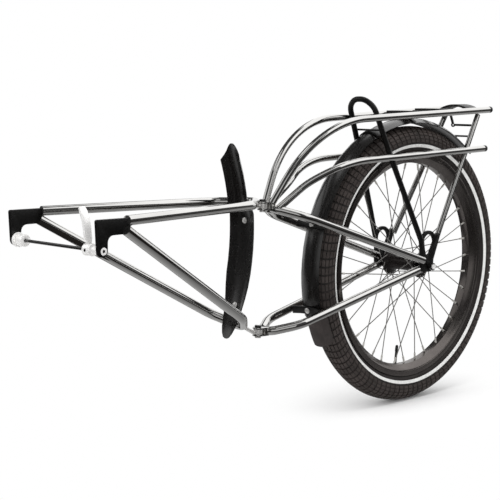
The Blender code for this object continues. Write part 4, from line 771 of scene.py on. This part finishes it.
for group, reach in ((softboxes, studio["softboxReach"]), (cloths, studio["clothReach"])):
    for name, panel in group.items():
        fabric = stageMaterial(name + " fabric")
        shine = addNode(fabric, "ShaderNodeEmission", {"Color": pureWhite, "Strength": panel["glow"]})
        coverWith(fabric, shine.outputs["Emission"])
        onlyReflected(stageObject(name, shell(panel["azimuth"], panel["elevation"], reach), fabric))

# Pale sheets on the felt, each with a glow that runs evenly from its right edge to its left
sheets = {
    "farSheet": {"x": (-2.8, -1.7), "y": (-0.9, 0.75), "glow": (0.62, 0.25)},
    "middleSheet": {"x": (-1.7, -1.0), "y": (-0.9, 0.60), "glow": (0.66, 0.20)},
    "nearSheet": {"x": (-1.0, -0.12), "y": (-0.30, 0.42), "glow": (0.52, 0.13)},
    "rightSheet": {"x": (-1.0, 0.4), "y": (-2.4, -0.50), "glow": (0.6, 0.4)},
}
for name, sheet in sheets.items():
    paint = stageMaterial(name + " paint")
    place = addNode(paint, "ShaderNodeTexCoord").outputs["Object"]
    glow = addNode(
        paint, "ShaderNodeMapRange",
        {
            "From Min": sheet["y"][0], "From Max": sheet["y"][1],
            "To Min": sheet["glow"][0], "To Max": sheet["glow"][1],
        },
        {"Value": addNode(paint, "ShaderNodeSeparateXYZ", None, {"Vector": place}).outputs["Y"]},
    ).outputs["Result"]
    shine = addNode(paint, "ShaderNodeEmission", {"Color": pureWhite}, {"Strength": glow})
    coverWith(paint, shine.outputs["Emission"])
    (left, right), (near, far) = sheet["x"], sheet["y"]
    sheetMiddle = ((left + right) / 2, (near + far) / 2, groundHeight - studio["sheetDrop"])
    sheetMesh = bmesh.new()
    bmesh.ops.create_grid(sheetMesh, x_segments=1, y_segments=1, size=0.5)
    bmesh.ops.scale(sheetMesh, vec=(right - left, far - near, 1), verts=sheetMesh.verts)
    bmesh.ops.translate(sheetMesh, vec=sheetMiddle, verts=sheetMesh.verts)
    onlyReflected(stageObject(name, sheetMesh, paint))

world = bpy.data.worlds.new("studio")
world.use_nodes = True
bpy.context.scene.world = world
sky = world.node_tree.nodes["Background"]
sky.inputs["Color"].default_value = pureWhite
level = addNode(
    world, "ShaderNodeMapRange", {"To Min": studio["skyLight"], "To Max": 1.0}, {"Value": seesBackground(world)}
)
world.node_tree.links.new(level.outputs["Result"], sky.inputs["Strength"])

lamps = {
    "topLamp": {"place": (-0.2, 0.45, 2.3), "aim": (-0.6, 0.0, -0.1), "size": 1.0, "power": 1.0},
    "frontLamp": {"place": (1.6, -0.9, 1.3), "aim": (-0.5, 0.0, -0.1), "size": 1.4, "power": 0.4},
}
for name, lamp in lamps.items():
    light = bpy.data.lights.new(name, "AREA")
    light.shape = "SQUARE"
    light.size = lamp["size"]
    light.energy = lamp["power"] * studio["lampPower"]
    holder = bpy.data.objects.new(name, light)
    holder.location = lamp["place"]
    holder.visible_glossy = False  # reflections show the softboxes instead
    holder.rotation_euler = (Vector(lamp["aim"]) - Vector(lamp["place"])).to_track_quat("-Z", "Y").to_euler()
    bpy.context.scene.collection.objects.link(holder)
bpy.context.scene.view_settings.view_transform = "Standard"
print("stage 6: studio lit")
